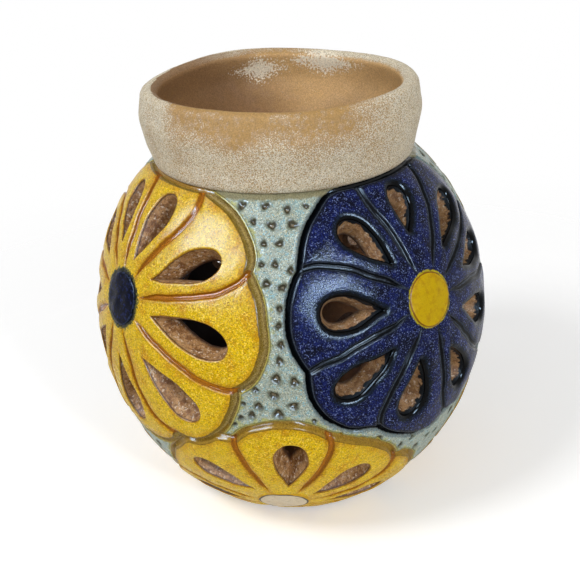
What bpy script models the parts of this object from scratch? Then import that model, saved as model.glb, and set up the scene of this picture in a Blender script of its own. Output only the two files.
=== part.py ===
"""Pierced pottery vase: a round-bodied vessel with a plain collar and carved flowers whose petals are cut
through as tear-shaped windows. The body is built the way a potter lays it up: a floor, a wall, a collar,
and for each flower one relief slab with a centre button pressed into it."""

import math
from collections import namedtuple

import bmesh
import bpy
import numpy as np

# Overall sizes, in metres. Heights of the body are taken from its widest level
BODY_RADIUS = 0.0800
BODY_DROP = 0.0900
BODY_RISE = 0.0850
FOOT_RADIUS = 0.0340
FLOOR_THICKNESS = 0.0070
WALL_SEAT_STEP = 0.0010
WALL_THICKNESS = 0.0078

# Neck: the wall is cut open at its bore, and the collar stands on the cut edge and overhangs it
NECK_BORE_RADIUS = 0.0420
COLLAR_SEAT_WIDTH = 0.0044
COLLAR_OVERHANG = 0.0036
COLLAR_HEIGHT = 0.0270
COLLAR_WALL = 0.0066
COLLAR_BELLY_LEVEL = 0.0150
COLLAR_BELLY_FLARE = 0.0032
COLLAR_SHOULDER_LEVEL = 0.0055
COLLAR_SHOULDER_FLARE = 0.0014
COLLAR_LIP_FLARE = 0.0020
COLLAR_GROOVE = 0.0015

# Relief work on the wall
RELIEF_HEIGHT = 0.0022
PETAL_GROOVE_WIDTH = 0.0022
PETAL_GROOVE_DEPTH = 0.0012
OUTLINE_GROOVE_WIDTH = 0.0020
BUTTON_RISE = 0.0004
WINDOW_TAPER = 0.0022
TIP_TAPER = 0.0060
FOOT_CLEARANCE = 0.0012
WINDOW_FLOOR_CLEARANCE = 0.0020
JOINT_GAP = 0.0003

# Angles at the body's centre, in degrees
BUTTON_RADIUS = 7.6
CORE_MARGIN = 3.4
GROOVE_OVERRUN = 1.5
HOOK_START = 16.0
NEIGHBOUR_REACH = 95.0

# Shapes without a unit: powers of the curves, and where along a run its points lie
HOOK_POWER = 4.0
LOBE_SHARES = (0.0, 0.25, 0.5, 0.75)
GROOVE_SHARES = (0.7, 0.88)
TEAR_SHARES = (0.0, 0.38, 0.74, 0.94, 1.0, 0.94, 0.74, 0.38)
TEAR_WIDTHS = (0.0, 0.64, 1.0, 0.62, 0.0, -0.62, -1.0, -0.64)

# Facets
AROUND = 40
ROW_ANGLE = 10.0
ROWS_BELOW = 4
ROWS_ABOVE = 18
LEAST_ROW_SHARE = 0.25
BUTTON_SIDES = 16
LIP_SIDES = 5
CUTTER_MARGIN = 0.0040

# A petal's angles about its flower's centre: the bearing at which its clockwise edge leaves the button, how far
# round that edge hooks, the spread of the notch where it ends, the outline's spreads at a quarter, half and
# three quarters of the way to the next notch, and its window's tip and round end, each as a bearing and a
# spread, and half width. A half width of 0 means a petal without a window
Petal = namedtuple("Petal", "edge hook notch lobe tip end half")
# A flower: name, centre's azimuth and latitude, scale, petals, glazes of the petals and of the button
Flower = namedtuple("Flower", "name azimuth latitude scale petals glaze button_glaze")

YELLOW_PETALS = (
    Petal(-23.0, 6.3, 42.7, (46.0, 45.7, 44.1), (0.5, 13.6), (-2.2, 37.2), 4.8),
    Petal(19.8, 9.2, 41.4, (42.8, 41.7, 39.6), (38.5, 14.3), (35.8, 35.2), 4.2),
    Petal(59.0, 10.6, 37.6, (41.0, 41.5, 40.0), (79.0, 11.8), (79.0, 31.3), 4.2),
    Petal(99.0, 5.0, 38.0, (40.0, 40.5, 39.5), (116.5, 15.0), (114.5, 33.0), 3.6),
    Petal(131.0, 9.0, 38.0, (41.0, 41.0, 40.5), (149.0, 16.0), (149.0, 33.5), 4.0),
    Petal(168.0, 10.0, 39.5, (43.0, 43.0, 42.0), (189.0, 15.0), (189.0, 34.0), 4.3),
    Petal(210.0, 10.0, 40.0, (43.0, 43.5, 42.5), (231.0, 15.0), (231.0, 35.0), 4.3),
    Petal(249.0, 12.0, 39.5, (41.5, 42.2, 42.4), (269.0, 16.5), (276.0, 36.6), 4.8),
    Petal(288.5, 12.1, 39.8, (44.4, 45.1, 44.3), (312.6, 17.2), (319.0, 39.0), 4.8),
)
BLUE_PETALS = (
    Petal(-4.0, 4.0, 37.5, (40.0, 40.2, 39.8), (10.0, 18.5), (12.0, 34.5), 3.8),
    Petal(27.0, 6.0, 38.5, (41.2, 41.4, 41.2), (45.5, 15.6), (42.3, 35.0), 3.6),
    Petal(62.0, 7.5, 38.5, (39.0, 39.0, 38.0), (88.0, 18.0), (82.5, 30.6), 3.3),
    Petal(105.0, -3.5, 36.0, (37.4, 37.9, 37.5), (124.0, 15.0), (123.0, 31.2), 3.7),
    Petal(143.0, 6.5, 36.6, (38.5, 39.4, 39.2), (172.0, 14.6), (168.5, 31.0), 4.6),
    Petal(191.0, 1.2, 37.8, (40.6, 41.3, 39.4), (214.0, 17.0), (209.0, 35.0), 4.0),
    Petal(232.0, 7.5, 36.6, (38.4, 39.9, 40.6), (250.0, 16.0), (253.5, 32.6), 4.3),
    Petal(277.5, 3.8, 39.0, (40.6, 41.4, 41.0), (291.5, 17.5), (296.0, 34.0), 3.8),
    Petal(313.0, 6.0, 39.0, (40.5, 40.5, 39.5), (333.0, 15.6), (336.0, 34.0), 4.0),
)
LOWER_PETALS = (
    Petal(4.0, 14.0, 33.4, (35.0, 34.7, 34.3), (31.0, 9.8), (28.5, 27.8), 4.0),
    Petal(57.0, 7.2, 34.3, (36.8, 37.1, 35.8), (78.0, 11.5), (80.5, 30.0), 4.6),
    Petal(112.5, -2.7, 32.4, (34.5, 34.8, 33.6), (132.0, 11.0), (146.0, 28.3), 3.9),
    Petal(175.0, 3.0, 31.5, (33.0, 33.0, 32.5), (192.0, 11.0), (192.0, 27.0), 3.6),
    Petal(210.0, 5.0, 31.0, (33.0, 33.0, 32.5), (232.0, 11.0), (232.0, 27.0), 0.0),
    Petal(250.0, 6.0, 31.0, (33.0, 33.0, 32.5), (270.0, 11.0), (270.0, 27.0), 0.0),
    Petal(290.0, 6.0, 31.0, (34.0, 34.5, 34.0), (308.0, 11.0), (308.0, 27.0), 0.0),
    Petal(326.0, 6.0, 32.5, (36.0, 36.8, 36.8), (346.0, 12.0), (346.0, 27.5), 3.6),
)

YELLOW = ("yellow_glaze", (0.72, 0.50, 0.03), 0.35)
BLUE = ("cobalt_glaze", (0.02, 0.04, 0.20), 0.30)
NAVY = ("navy_glaze", (0.01, 0.02, 0.09), 0.35)
CREAM = ("cream_glaze", (0.62, 0.56, 0.46), 0.45)
TURQUOISE = ("turquoise_glaze", (0.35, 0.50, 0.50), 0.50)
SLIPPED_CLAY = ("slipped_clay", (0.56, 0.48, 0.36), 0.80)
RAW_CLAY = ("raw_clay", (0.36, 0.20, 0.10), 0.90)

# Listed in the order in which they are laid: a flower is trimmed back from those before it
FLOWERS = (
    Flower("upper_front_left", -48.9, 18.6, 1.0, YELLOW_PETALS, YELLOW, NAVY),
    Flower("upper_front_right", 47.2, 18.9, 1.0, BLUE_PETALS, BLUE, YELLOW),
    Flower("upper_back_right", 139.0, 18.6, 0.85, YELLOW_PETALS, YELLOW, NAVY),
    Flower("upper_back_left", 222.0, 18.9, 0.92, BLUE_PETALS, BLUE, YELLOW),
    Flower("lower_front", 0.0, -44.0, 1.0, LOWER_PETALS, YELLOW, CREAM),
    Flower("lower_right", 97.0, -44.2, 0.77, LOWER_PETALS, YELLOW, CREAM),
    Flower("lower_back", 178.0, -47.5, 0.78, LOWER_PETALS, YELLOW, CREAM),
    Flower("lower_left", 265.0, -44.2, 0.83, LOWER_PETALS, YELLOW, CREAM),
)

# Where the pieces lie: depths are counted inwards from the flowers' outer face
WALL_FACE = RELIEF_HEIGHT
WALL_BACK = RELIEF_HEIGHT + WALL_THICKNESS
SLAB_BACK = RELIEF_HEIGHT - JOINT_GAP
FOOT_LEVEL = -(BODY_DROP - WALL_FACE) * math.sqrt(1.0 - (FOOT_RADIUS / (BODY_RADIUS - WALL_FACE)) ** 2)
FLOOR_LEVEL = FOOT_LEVEL + FLOOR_THICKNESS
WALL_SEAT_LEVEL = FLOOR_LEVEL - WALL_SEAT_STEP
WALL_SEAT_ANGLE = math.asin(WALL_SEAT_LEVEL / (BODY_DROP - WALL_FACE))
COLLAR_SEAT_RADIUS = NECK_BORE_RADIUS + COLLAR_SEAT_WIDTH
COLLAR_BASE_RADIUS = COLLAR_SEAT_RADIUS + COLLAR_OVERHANG
WALL_TOP = (BODY_RISE - WALL_FACE) * math.sqrt(1.0 - (COLLAR_SEAT_RADIUS / (BODY_RADIUS - WALL_FACE)) ** 2)
COLLAR_LEVEL = WALL_TOP + JOINT_GAP
SLAB_TOP = WALL_TOP - COLLAR_GROOVE
SLAB_BOTTOM = FOOT_LEVEL + FOOT_CLEARANCE
GROOVE_START = BUTTON_RADIUS + CORE_MARGIN


def body_heights(depth, level):
    """Half height of the body that belongs to a level, for the surface that lies this deep."""
    return (BODY_RISE if level > 0.0 else BODY_DROP) - depth


def radius_at(depth, level):
    """Horizontal radius of the surface that lies this deep, at a level above the widest one."""
    share = level / body_heights(depth, level)
    return (BODY_RADIUS - depth) * math.sqrt(max(0.0, 1.0 - share * share))


def body_arc(depth, top, bottom):
    """Profile of the body between two levels, top to bottom, on rows that all pieces share."""
    first = math.asin(top / body_heights(depth, top))
    last = math.asin(bottom / body_heights(depth, bottom))
    row = math.radians(ROW_ANGLE)
    rows = [WALL_SEAT_ANGLE + i * row for i in range(-ROWS_BELOW, ROWS_ABOVE)]
    least = LEAST_ROW_SHARE * row
    rows = [angle for angle in rows if last + least < angle < first - least]
    points = [(radius_at(depth, top), top)]
    for angle in reversed(rows):
        level = body_heights(depth, angle) * math.sin(angle)
        points.append((radius_at(depth, level), level))
    points.append((radius_at(depth, bottom), bottom))
    return points


def above_foot(profile):
    """The profile with its heights counted from the foot's underside."""
    return [(radius, level - FOOT_LEVEL) for radius, level in profile]


def direction(azimuth, latitude):
    """Unit vector from the body's centre, with azimuth 0 at the front."""
    turn, rise = math.radians(azimuth), math.radians(latitude)
    return np.array((math.sin(turn) * math.cos(rise), -math.cos(turn) * math.cos(rise), math.sin(rise)))


def flower_frame(flower):
    """Centre, rightward and upward unit vectors of a flower, as seen from outside."""
    centre = direction(flower.azimuth, flower.latitude)
    turn = math.radians(flower.azimuth)
    right = np.array((math.cos(turn), math.sin(turn), 0.0))
    return centre, right, np.cross(centre, right)


def flat(bearings, spreads):
    """Degrees across and up from a flower's centre, of points given by bearing and spread."""
    turns = np.radians(bearings)
    return np.stack((spreads * np.cos(turns), spreads * np.sin(turns)), axis=-1)


def rays(flower, points):
    """Unit vectors of points given in degrees across and up from the flower's centre."""
    centre, right, up = flower_frame(flower)
    reach = np.hypot(points[:, 0], points[:, 1])[:, None]
    spread = np.radians(reach * flower.scale)
    side = (points[:, :1] * right + points[:, 1:] * up) / reach
    return np.cos(spread) * centre + np.sin(spread) * side


def distance(ray, depth):
    """How far from the body's centre a ray meets the surface that lies this deep."""
    half = body_heights(depth, ray[2])
    return 1.0 / math.sqrt((ray[0] ** 2 + ray[1] ** 2) / (BODY_RADIUS - depth) ** 2 + (ray[2] / half) ** 2)


def flat_ring(outline, axis, reach):
    """The outline's rays cut by the plane across the axis at this reach."""
    return [ray * reach / ray.dot(axis) for ray in outline]


def outline_angles(flower, grow):
    """Bearings and spreads of a flower's outline, grown by an angle: lobes that run from notch to notch."""
    bearings, spreads = [], []
    petals = flower.petals
    for petal, after in zip(petals, petals[1:] + petals[:1]):
        first, last = petal.edge + petal.hook, after.edge + after.hook
        run = (last - first) % 360.0
        bearings += [first + share * run for share in LOBE_SHARES]
        spreads += [spread + grow for spread in (petal.notch, *petal.lobe)]
    return bearings, spreads


def groove_angles(petal, half):
    """Outline of the ribbon that is cut along a petal's edge: out on one side and back on the other."""
    notch = petal.notch
    spreads = np.array([GROOVE_START] + [share * notch for share in GROOVE_SHARES] + [notch + GROOVE_OVERRUN])
    shares = np.clip((spreads - HOOK_START) / (notch - HOOK_START), 0.0, 1.0)
    bearings = petal.edge + petal.hook * shares ** HOOK_POWER
    step = np.degrees(half / np.sin(np.radians(spreads)))
    return np.append(bearings - step, (bearings + step)[::-1]), np.append(spreads, spreads[::-1])


def window_rays(flower, petal, shrink, tip_shrink):
    """Rays of a petal's tear-shaped window, whose point is towards the flower's centre."""
    tip, end = flat(*petal.tip), flat(*petal.end)
    length = math.hypot(*(end - tip))
    along = (end - tip) / length
    across = np.array((-along[1], along[0]))
    run = tip_shrink + np.array(TEAR_SHARES) * (length - shrink - tip_shrink)
    side = np.array(TEAR_WIDTHS) * (petal.half - shrink)
    return rays(flower, tip + run[:, None] * along + side[:, None] * across)


def material(glaze):
    """Principled material of a glaze or clay, made once."""
    name, colour, roughness = glaze
    made = bpy.data.materials.get(name)
    if made is None:
        made = bpy.data.materials.new(name)
        made.use_nodes = True
        shader = made.node_tree.nodes["Principled BSDF"]
        shader.inputs["Base Color"].default_value = (*colour, 1.0)
        shader.inputs["Roughness"].default_value = roughness
        shader.inputs["Metallic"].default_value = 0.0
        made.diffuse_color = (*colour, 1.0)
    return made


def add_object(name, bm, collection):
    """Object made from a bmesh, in the collection."""
    mesh = bpy.data.meshes.new(name)
    bm.to_mesh(mesh)
    bm.free()
    thing = bpy.data.objects.new(name, mesh)
    collection.objects.link(thing)
    return thing


def turned(name, profile, collection, on_axis=False):
    """A turned piece: its profile runs down the outer side and back up the inner one."""
    bm = bmesh.new()
    points = [bm.verts.new((radius, 0.0, height)) for radius, height in above_foot(profile)]
    for start, end in zip(points, points[1:]):
        bm.edges.new((start, end))
    if not on_axis:
        bm.edges.new((points[-1], points[0]))
    piece = add_object(name, bm, collection)
    screw = piece.modifiers.new("Turn", "SCREW")
    screw.axis = "Z"
    screw.steps = screw.render_steps = AROUND
    screw.use_merge_vertices = True
    screw.merge_threshold = 0.00001
    return piece


def lofted(name, pairs, collection):
    """Cutter of separate solids, each a loft between its near and its far ring."""
    bm = bmesh.new()
    for rings in pairs:
        edges = []
        for ring in rings:
            points = [bm.verts.new((p[0], p[1], p[2] - FOOT_LEVEL)) for p in ring]
            edges += bm.faces.new(points).edges
        bmesh.ops.bridge_loops(bm, edges=edges)
    bmesh.ops.recalc_face_normals(bm, faces=bm.faces)
    piece = add_object(name, bm, collection)
    hide_cutter(piece)
    return piece


def hide_cutter(piece):
    """Mark an object as a construction guide."""
    piece.hide_render = True
    piece.display_type = "WIRE"


def combine(piece, other, operation, name):
    """Boolean of the piece with another object."""
    boolean = piece.modifiers.new(name, "BOOLEAN")
    boolean.operation = operation
    boolean.object = other


def cone(name, flower, angles, collection):
    """Cutter through the whole wall whose sides run to the body's centre."""
    axis = flower_frame(flower)[0]
    outline = rays(flower, flat(*angles))
    near = min(ray.dot(axis) * distance(ray, WALL_FACE) for ray in outline) - CUTTER_MARGIN
    far = max(BODY_RADIUS, BODY_DROP, BODY_RISE) + CUTTER_MARGIN
    return lofted(name, [(flat_ring(outline, axis, near), flat_ring(outline, axis, far))], collection)


def window_rings(flower, petal):
    """Inner and outer ring of a window's cutter, past both faces of the wall."""
    taper = math.degrees(WINDOW_TAPER / BODY_RADIUS)
    tip_taper = math.degrees(TIP_TAPER / BODY_RADIUS)
    outer, inner = window_rays(flower, petal, 0.0, 0.0), window_rays(flower, petal, taper, tip_taper)
    axis = outer.mean(axis=0)
    axis /= np.linalg.norm(axis)
    face, back = distance(axis, 0.0), distance(axis, WALL_BACK)
    outer, inner = np.array(flat_ring(outer, axis, face)), np.array(flat_ring(inner, axis, back))
    lean = (outer - inner) / (face - back)
    return inner - lean * CUTTER_MARGIN, outer + lean * CUTTER_MARGIN


def window_clears_floor(rings):
    """Whether a window's cutter stays above the floor."""
    return min(point[2] for ring in rings for point in ring) > FLOOR_LEVEL + WINDOW_FLOOR_CLEARANCE


def windows(flower, collection):
    """Cutter of all of a flower's windows."""
    rings = [window_rings(flower, petal) for petal in flower.petals if petal.half > 0.0]
    rings = [pair for pair in rings if window_clears_floor(pair)]
    return lofted("cut_windows_" + flower.name, rings, collection)


def petal_grooves(flower, collection):
    """Cutter of the grooves between a flower's petals, all equally deep in the curved slab."""
    axis = flower_frame(flower)[0]
    half = PETAL_GROOVE_WIDTH / 2.0 / BODY_RADIUS
    far = max(BODY_RADIUS, BODY_DROP, BODY_RISE) + 2.0 * CUTTER_MARGIN
    pairs = []
    for petal in flower.petals:
        outline = rays(flower, flat(*groove_angles(petal, half)))
        near = min(ray.dot(axis) * distance(ray, WALL_FACE) for ray in outline) - CUTTER_MARGIN
        pairs.append((flat_ring(outline, axis, near), flat_ring(outline, axis, far)))
    ribbons = lofted("ribbons_" + flower.name, pairs, collection)
    profile = body_arc(-CUTTER_MARGIN, SLAB_TOP + JOINT_GAP, SLAB_BOTTOM - JOINT_GAP)
    profile += reversed(body_arc(PETAL_GROOVE_DEPTH, SLAB_TOP + JOINT_GAP, SLAB_BOTTOM - JOINT_GAP))
    grooves = turned("cut_grooves_" + flower.name, profile, collection)
    combine(grooves, ribbons, "INTERSECT", "Along the petals")
    hide_cutter(grooves)
    return grooves


def build_floor(parts):
    """Round floor slab with a step that the wall stands in. Its edge carries the body's curve to the foot."""
    rim = radius_at(WALL_BACK, WALL_SEAT_LEVEL + JOINT_GAP) - JOINT_GAP
    profile = [(0.0, FLOOR_LEVEL), (rim, FLOOR_LEVEL), (rim, WALL_SEAT_LEVEL)]
    profile += body_arc(WALL_FACE, WALL_SEAT_LEVEL, FOOT_LEVEL) + [(0.0, FOOT_LEVEL)]
    piece = turned("floor_disc", profile, parts, on_axis=True)
    piece.data.materials.append(material(RAW_CLAY))


def build_wall(parts, cutters):
    """Body wall between floor and collar, with the neck's bore and every window cut through."""
    bottom = WALL_SEAT_LEVEL + JOINT_GAP
    inner_rise = BODY_RISE - WALL_BACK
    bore_start = inner_rise * math.sqrt(1.0 - (NECK_BORE_RADIUS / (BODY_RADIUS - WALL_BACK)) ** 2)
    profile = body_arc(WALL_FACE, WALL_TOP, bottom) + body_arc(WALL_BACK, bore_start, bottom)[::-1]
    profile.append((NECK_BORE_RADIUS, WALL_TOP))
    piece = turned("vessel_wall", profile, parts)
    for name, cutter in cutters.items():
        combine(piece, cutter, "DIFFERENCE", "Windows " + name)
    piece.data.materials.append(material(TURQUOISE))


def build_collar(parts):
    """Plain collar with a rounded lip, standing on the wall and overhanging it."""
    half = COLLAR_WALL / 2.0
    radius = COLLAR_BASE_RADIUS + COLLAR_LIP_FLARE - half
    level = COLLAR_LEVEL + COLLAR_HEIGHT - half
    turns = np.linspace(0.0, math.pi, LIP_SIDES + 1)
    lip = [(radius + half * math.cos(turn), level + half * math.sin(turn)) for turn in turns]
    belly = COLLAR_BASE_RADIUS + COLLAR_BELLY_FLARE
    belly_level = COLLAR_LEVEL + COLLAR_BELLY_LEVEL
    shoulder = (COLLAR_BASE_RADIUS + COLLAR_SHOULDER_FLARE, COLLAR_LEVEL + COLLAR_SHOULDER_LEVEL)
    outside = [(belly, belly_level), shoulder, (COLLAR_BASE_RADIUS, COLLAR_LEVEL)]
    inside = [(NECK_BORE_RADIUS, COLLAR_LEVEL), (belly - COLLAR_WALL, belly_level)]
    piece = turned("neck_collar", lip[:1] + outside + inside + lip[:0:-1], parts)
    piece.data.materials.append(material(SLIPPED_CLAY))


def layer_profile(front):
    """Profile of the clay layer laid on the wall, from a depth down to just off the wall."""
    return body_arc(front, SLAB_TOP, SLAB_BOTTOM) + body_arc(SLAB_BACK, SLAB_TOP, SLAB_BOTTOM)[::-1]


def build_flower(flower, window_cutter, neighbours, parts, guides):
    """A flower's relief slab and its centre button."""
    gap = math.degrees(JOINT_GAP / BODY_RADIUS) / flower.scale
    bearings = np.arange(BUTTON_SIDES) * 360.0 / BUTTON_SIDES
    slab = turned("flower_" + flower.name, layer_profile(0.0), parts)
    outline = cone("cut_outline_" + flower.name, flower, outline_angles(flower, 0.0), guides)
    combine(slab, outline, "INTERSECT", "Outline")
    seat_spreads = np.full(BUTTON_SIDES, BUTTON_RADIUS + gap)
    seat = cone("cut_seat_" + flower.name, flower, (bearings, seat_spreads), guides)
    combine(slab, seat, "DIFFERENCE", "Button seat")
    combine(slab, petal_grooves(flower, guides), "DIFFERENCE", "Petal grooves")
    combine(slab, window_cutter, "DIFFERENCE", "Windows")
    for other in neighbours:
        grow = math.degrees(OUTLINE_GROOVE_WIDTH / BODY_RADIUS) / other.scale
        trim = cone("trim_" + flower.name + "_" + other.name, other, outline_angles(other, grow), guides)
        combine(slab, trim, "DIFFERENCE", "Trim " + other.name)
    slab.data.materials.append(material(flower.glaze))
    button = turned("button_" + flower.name, layer_profile(-BUTTON_RISE), parts)
    core = cone("cut_button_" + flower.name, flower, (bearings, np.full(BUTTON_SIDES, BUTTON_RADIUS)), guides)
    combine(button, core, "INTERSECT", "Round")
    button.data.materials.append(material(flower.button_glaze))


def neighbours_of(flower):
    """Flowers laid before this one that come near it."""
    before = FLOWERS[:FLOWERS.index(flower)]
    centre = flower_frame(flower)[0]
    least = math.cos(math.radians(NEIGHBOUR_REACH))
    return [other for other in before if centre.dot(flower_frame(other)[0]) > least]


def clear_scene():
    """Remove what the scene holds."""
    for thing in list(bpy.data.objects):
        bpy.data.objects.remove(thing)


def build_vase():
    """Build every piece of the vase."""
    clear_scene()
    parts = bpy.data.collections.new("pottery_vase")
    guides = bpy.data.collections.new("cutters")
    bpy.context.scene.collection.children.link(parts)
    bpy.context.scene.collection.children.link(guides)
    cutters = {flower.name: windows(flower, guides) for flower in FLOWERS}
    build_floor(parts)
    build_wall(parts, cutters)
    build_collar(parts)
    for flower in FLOWERS:
        build_flower(flower, cutters[flower.name], neighbours_of(flower), parts, guides)


build_vase()
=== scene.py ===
"""Looks of a pottery vase: a pierced round body under a plain collar, with carved and glazed flowers.

Everything is measured in metres from the centre of the foot. A place on the body is a ray from the body's
centre and a depth, counted inwards from the flowers' outer face. A place on a flower is given in degrees
across and up from the flower's centre, as seen from outside.
"""

import math
from collections import namedtuple

import bmesh
import bpy
import numpy as np
from bpy.props import FloatProperty, FloatVectorProperty, PointerProperty
from mathutils import Matrix


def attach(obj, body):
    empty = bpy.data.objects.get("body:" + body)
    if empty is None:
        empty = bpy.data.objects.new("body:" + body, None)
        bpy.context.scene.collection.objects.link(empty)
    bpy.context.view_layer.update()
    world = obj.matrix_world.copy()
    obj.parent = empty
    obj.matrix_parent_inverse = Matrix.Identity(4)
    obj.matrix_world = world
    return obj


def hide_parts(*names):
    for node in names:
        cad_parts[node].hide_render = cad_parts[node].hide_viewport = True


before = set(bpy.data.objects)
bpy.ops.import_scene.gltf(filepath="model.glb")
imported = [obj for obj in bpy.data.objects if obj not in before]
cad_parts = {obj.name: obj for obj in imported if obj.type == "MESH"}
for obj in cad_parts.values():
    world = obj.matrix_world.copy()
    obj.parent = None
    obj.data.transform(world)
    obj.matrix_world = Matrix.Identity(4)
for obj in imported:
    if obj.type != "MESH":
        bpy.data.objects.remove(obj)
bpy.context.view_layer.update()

bl_info = {
    "name": "Pottery vase",
    "version": (1, 0, 0),
    "blender": (4, 5, 0),
    "location": "3D View > Sidebar > Vase",
    "description": "Pierced pottery vase with carved and glazed flowers",
    "category": "Add Mesh",
}

MM = 0.001
BODY = "root"
WELD = 0.004 * MM
# Millimetres that stand for out of reach
FAR = 99.0
# Pairs of a point and a segment that are worked out at once
BLOCK = 4000000
# Millimetres that a degree about the body's centre spans on its outer face, 80 mm away
DEGREE = math.radians(80.0)

# Collar: how far its outline stands out from the neck's bore, and the levels of its bends
COLLAR_SEAT_WIDTH = 4.4 * MM
COLLAR_OVERHANG = 3.6 * MM
COLLAR_BELLY_LEVEL = 15.0 * MM
COLLAR_BELLY_FLARE = 3.2 * MM
COLLAR_SHOULDER_LEVEL = 5.5 * MM
COLLAR_SHOULDER_FLARE = 1.4 * MM
COLLAR_LIP_FLARE = 2.0 * MM
COLLAR_GROOVE = 0.7 * MM
JOINT_GAP = 0.3 * MM
FOOT_CLEARANCE = 1.2 * MM
FLOOR_SEAT = 1.0 * MM
WINDOW_FLOOR_CLEARANCE = 2.0 * MM

# Carving: spreads in degrees about a flower's centre, and powers. The fade of the grooves is the millimetres
# from the button at which they start and at which they reach full width, and how much narrower they start
BUTTON_SPREAD = 7.6
RING_SPREAD = 7.1
GROOVE_FADE = (2.0, 13.0, 1.1)
HOOK_START = 16.0
HOOK_POWER = 4.0
TEAR_POWER = 1.3

# A petal's angles about its flower's centre: the bearing at which its clockwise edge leaves the button, how
# far round that edge hooks, the spread of the notch where it ends, the outline's spreads at a quarter, half
# and three quarters of the way to the next notch, and its window's tip and round end, each as a bearing and
# a spread, and half width. A half width of 0 means a petal without a window
Petal = namedtuple("Petal", "edge hook notch lobe tip end half")
# A flower: name, centre's azimuth and latitude, scale, petals, names of the glazes of the petals and the
# button
Flower = namedtuple("Flower", "name azimuth latitude scale petals glaze button_glaze")
# The carved lines of a flower, as points on the body's outer face, with None for a window that isn't there
Lines = namedtuple("Lines", "grooves lobes windows")
# Part of a piece: a grid of points, its faces, and a grid of values for each of its marks
Part = namedtuple("Part", "points faces marks")
# Form of the body: its sizes, the height of its centre, the depth of its inside, the bore's radius, levels
# above the centre, and the radius at the foot of the collar
Form = namedtuple("Form", ("radius", "drop", "rise", "centre", "back", "bore", "floor", "seat", "wall_top",
                           "collar", "slab_top", "slab_bottom", "collar_base"))

YELLOW_PETALS = (
    Petal(-23.0, 6.3, 42.7, (46.0, 45.7, 44.1), (0.5, 13.6), (-2.2, 37.2), 4.8),
    Petal(19.8, 9.2, 41.4, (42.8, 41.7, 39.6), (38.5, 14.3), (35.8, 35.2), 4.2),
    Petal(59.0, 10.6, 37.6, (41.0, 41.5, 40.0), (79.0, 11.8), (79.0, 31.3), 4.2),
    Petal(99.0, 5.0, 38.0, (40.0, 40.5, 39.5), (116.5, 15.0), (114.5, 33.0), 3.6),
    Petal(131.0, 9.0, 38.0, (41.0, 41.0, 40.5), (149.0, 16.0), (149.0, 33.5), 4.0),
    Petal(168.0, 10.0, 39.5, (43.0, 43.0, 42.0), (189.0, 15.0), (189.0, 34.0), 4.3),
    Petal(210.0, 10.0, 40.0, (43.0, 43.5, 42.5), (231.0, 15.0), (231.0, 35.0), 4.3),
    Petal(249.0, 12.0, 39.5, (41.5, 42.2, 42.4), (269.0, 16.5), (276.0, 36.6), 4.8),
    Petal(288.5, 12.1, 39.8, (44.4, 45.1, 44.3), (312.6, 17.2), (319.0, 39.0), 4.8),
)
BLUE_PETALS = (
    Petal(-4.0, 4.0, 37.5, (40.0, 40.2, 39.8), (10.0, 18.5), (12.0, 34.5), 3.8),
    Petal(27.0, 6.0, 38.5, (41.2, 41.4, 41.2), (45.5, 15.6), (42.3, 35.0), 3.6),
    Petal(62.0, 7.5, 38.5, (39.0, 39.0, 38.0), (88.0, 18.0), (82.5, 30.6), 3.3),
    Petal(105.0, -3.5, 36.0, (37.4, 37.9, 37.5), (124.0, 15.0), (123.0, 31.2), 3.7),
    Petal(143.0, 6.5, 36.6, (38.5, 39.4, 39.2), (172.0, 14.6), (168.5, 31.0), 4.6),
    Petal(191.0, 1.2, 37.8, (40.6, 41.3, 39.4), (214.0, 17.0), (209.0, 35.0), 4.0),
    Petal(232.0, 7.5, 36.6, (38.4, 39.9, 40.6), (250.0, 16.0), (253.5, 32.6), 4.3),
    Petal(277.5, 3.8, 39.0, (40.6, 41.4, 41.0), (291.5, 17.5), (296.0, 34.0), 3.8),
    Petal(313.0, 6.0, 39.0, (40.5, 40.5, 39.5), (333.0, 15.6), (336.0, 34.0), 4.0),
)
LOWER_PETALS = (
    Petal(4.0, 14.0, 33.4, (35.0, 34.7, 34.3), (31.0, 9.8), (28.5, 27.8), 4.0),
    Petal(57.0, 7.2, 34.3, (36.8, 37.1, 35.8), (78.0, 11.5), (80.5, 30.0), 4.6),
    Petal(112.5, -2.7, 32.4, (34.5, 34.8, 33.6), (132.0, 11.0), (146.0, 28.3), 3.9),
    Petal(175.0, 3.0, 31.5, (33.0, 33.0, 32.5), (192.0, 11.0), (192.0, 27.0), 3.6),
    Petal(210.0, 5.0, 31.0, (33.0, 33.0, 32.5), (232.0, 9.0), (232.0, 15.0), 0.0),
    Petal(250.0, 6.0, 31.0, (33.0, 33.0, 32.5), (270.0, 9.0), (270.0, 14.0), 0.0),
    Petal(290.0, 6.0, 31.0, (34.0, 34.5, 34.0), (308.0, 9.0), (308.0, 15.0), 0.0),
    Petal(326.0, 6.0, 32.5, (36.0, 36.8, 36.8), (346.0, 12.0), (346.0, 27.5), 3.6),
)

# Listed in the order in which they are carved: a flower stays clear of those before it
FLOWERS = (
    Flower("upper_front_left", -48.9, 18.6, 1.0, YELLOW_PETALS, "yellow_glaze", "navy_glaze"),
    Flower("upper_front_right", 47.2, 18.9, 1.0, BLUE_PETALS, "cobalt_glaze", "yellow_glaze"),
    Flower("upper_back_right", 139.0, 18.6, 0.85, YELLOW_PETALS, "yellow_glaze", "navy_glaze"),
    Flower("upper_back_left", 222.0, 18.9, 0.92, BLUE_PETALS, "cobalt_glaze", "yellow_glaze"),
    Flower("lower_front", 0.0, -44.0, 1.0, LOWER_PETALS, "yellow_glaze", "cream_glaze"),
    Flower("lower_right", 97.0, -44.2, 0.77, LOWER_PETALS, "yellow_glaze", "cream_glaze"),
    Flower("lower_back", 178.0, -47.5, 0.78, LOWER_PETALS, "yellow_glaze", "cream_glaze"),
    Flower("lower_left", 265.0, -44.2, 0.83, LOWER_PETALS, "yellow_glaze", "cream_glaze"),
)

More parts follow.
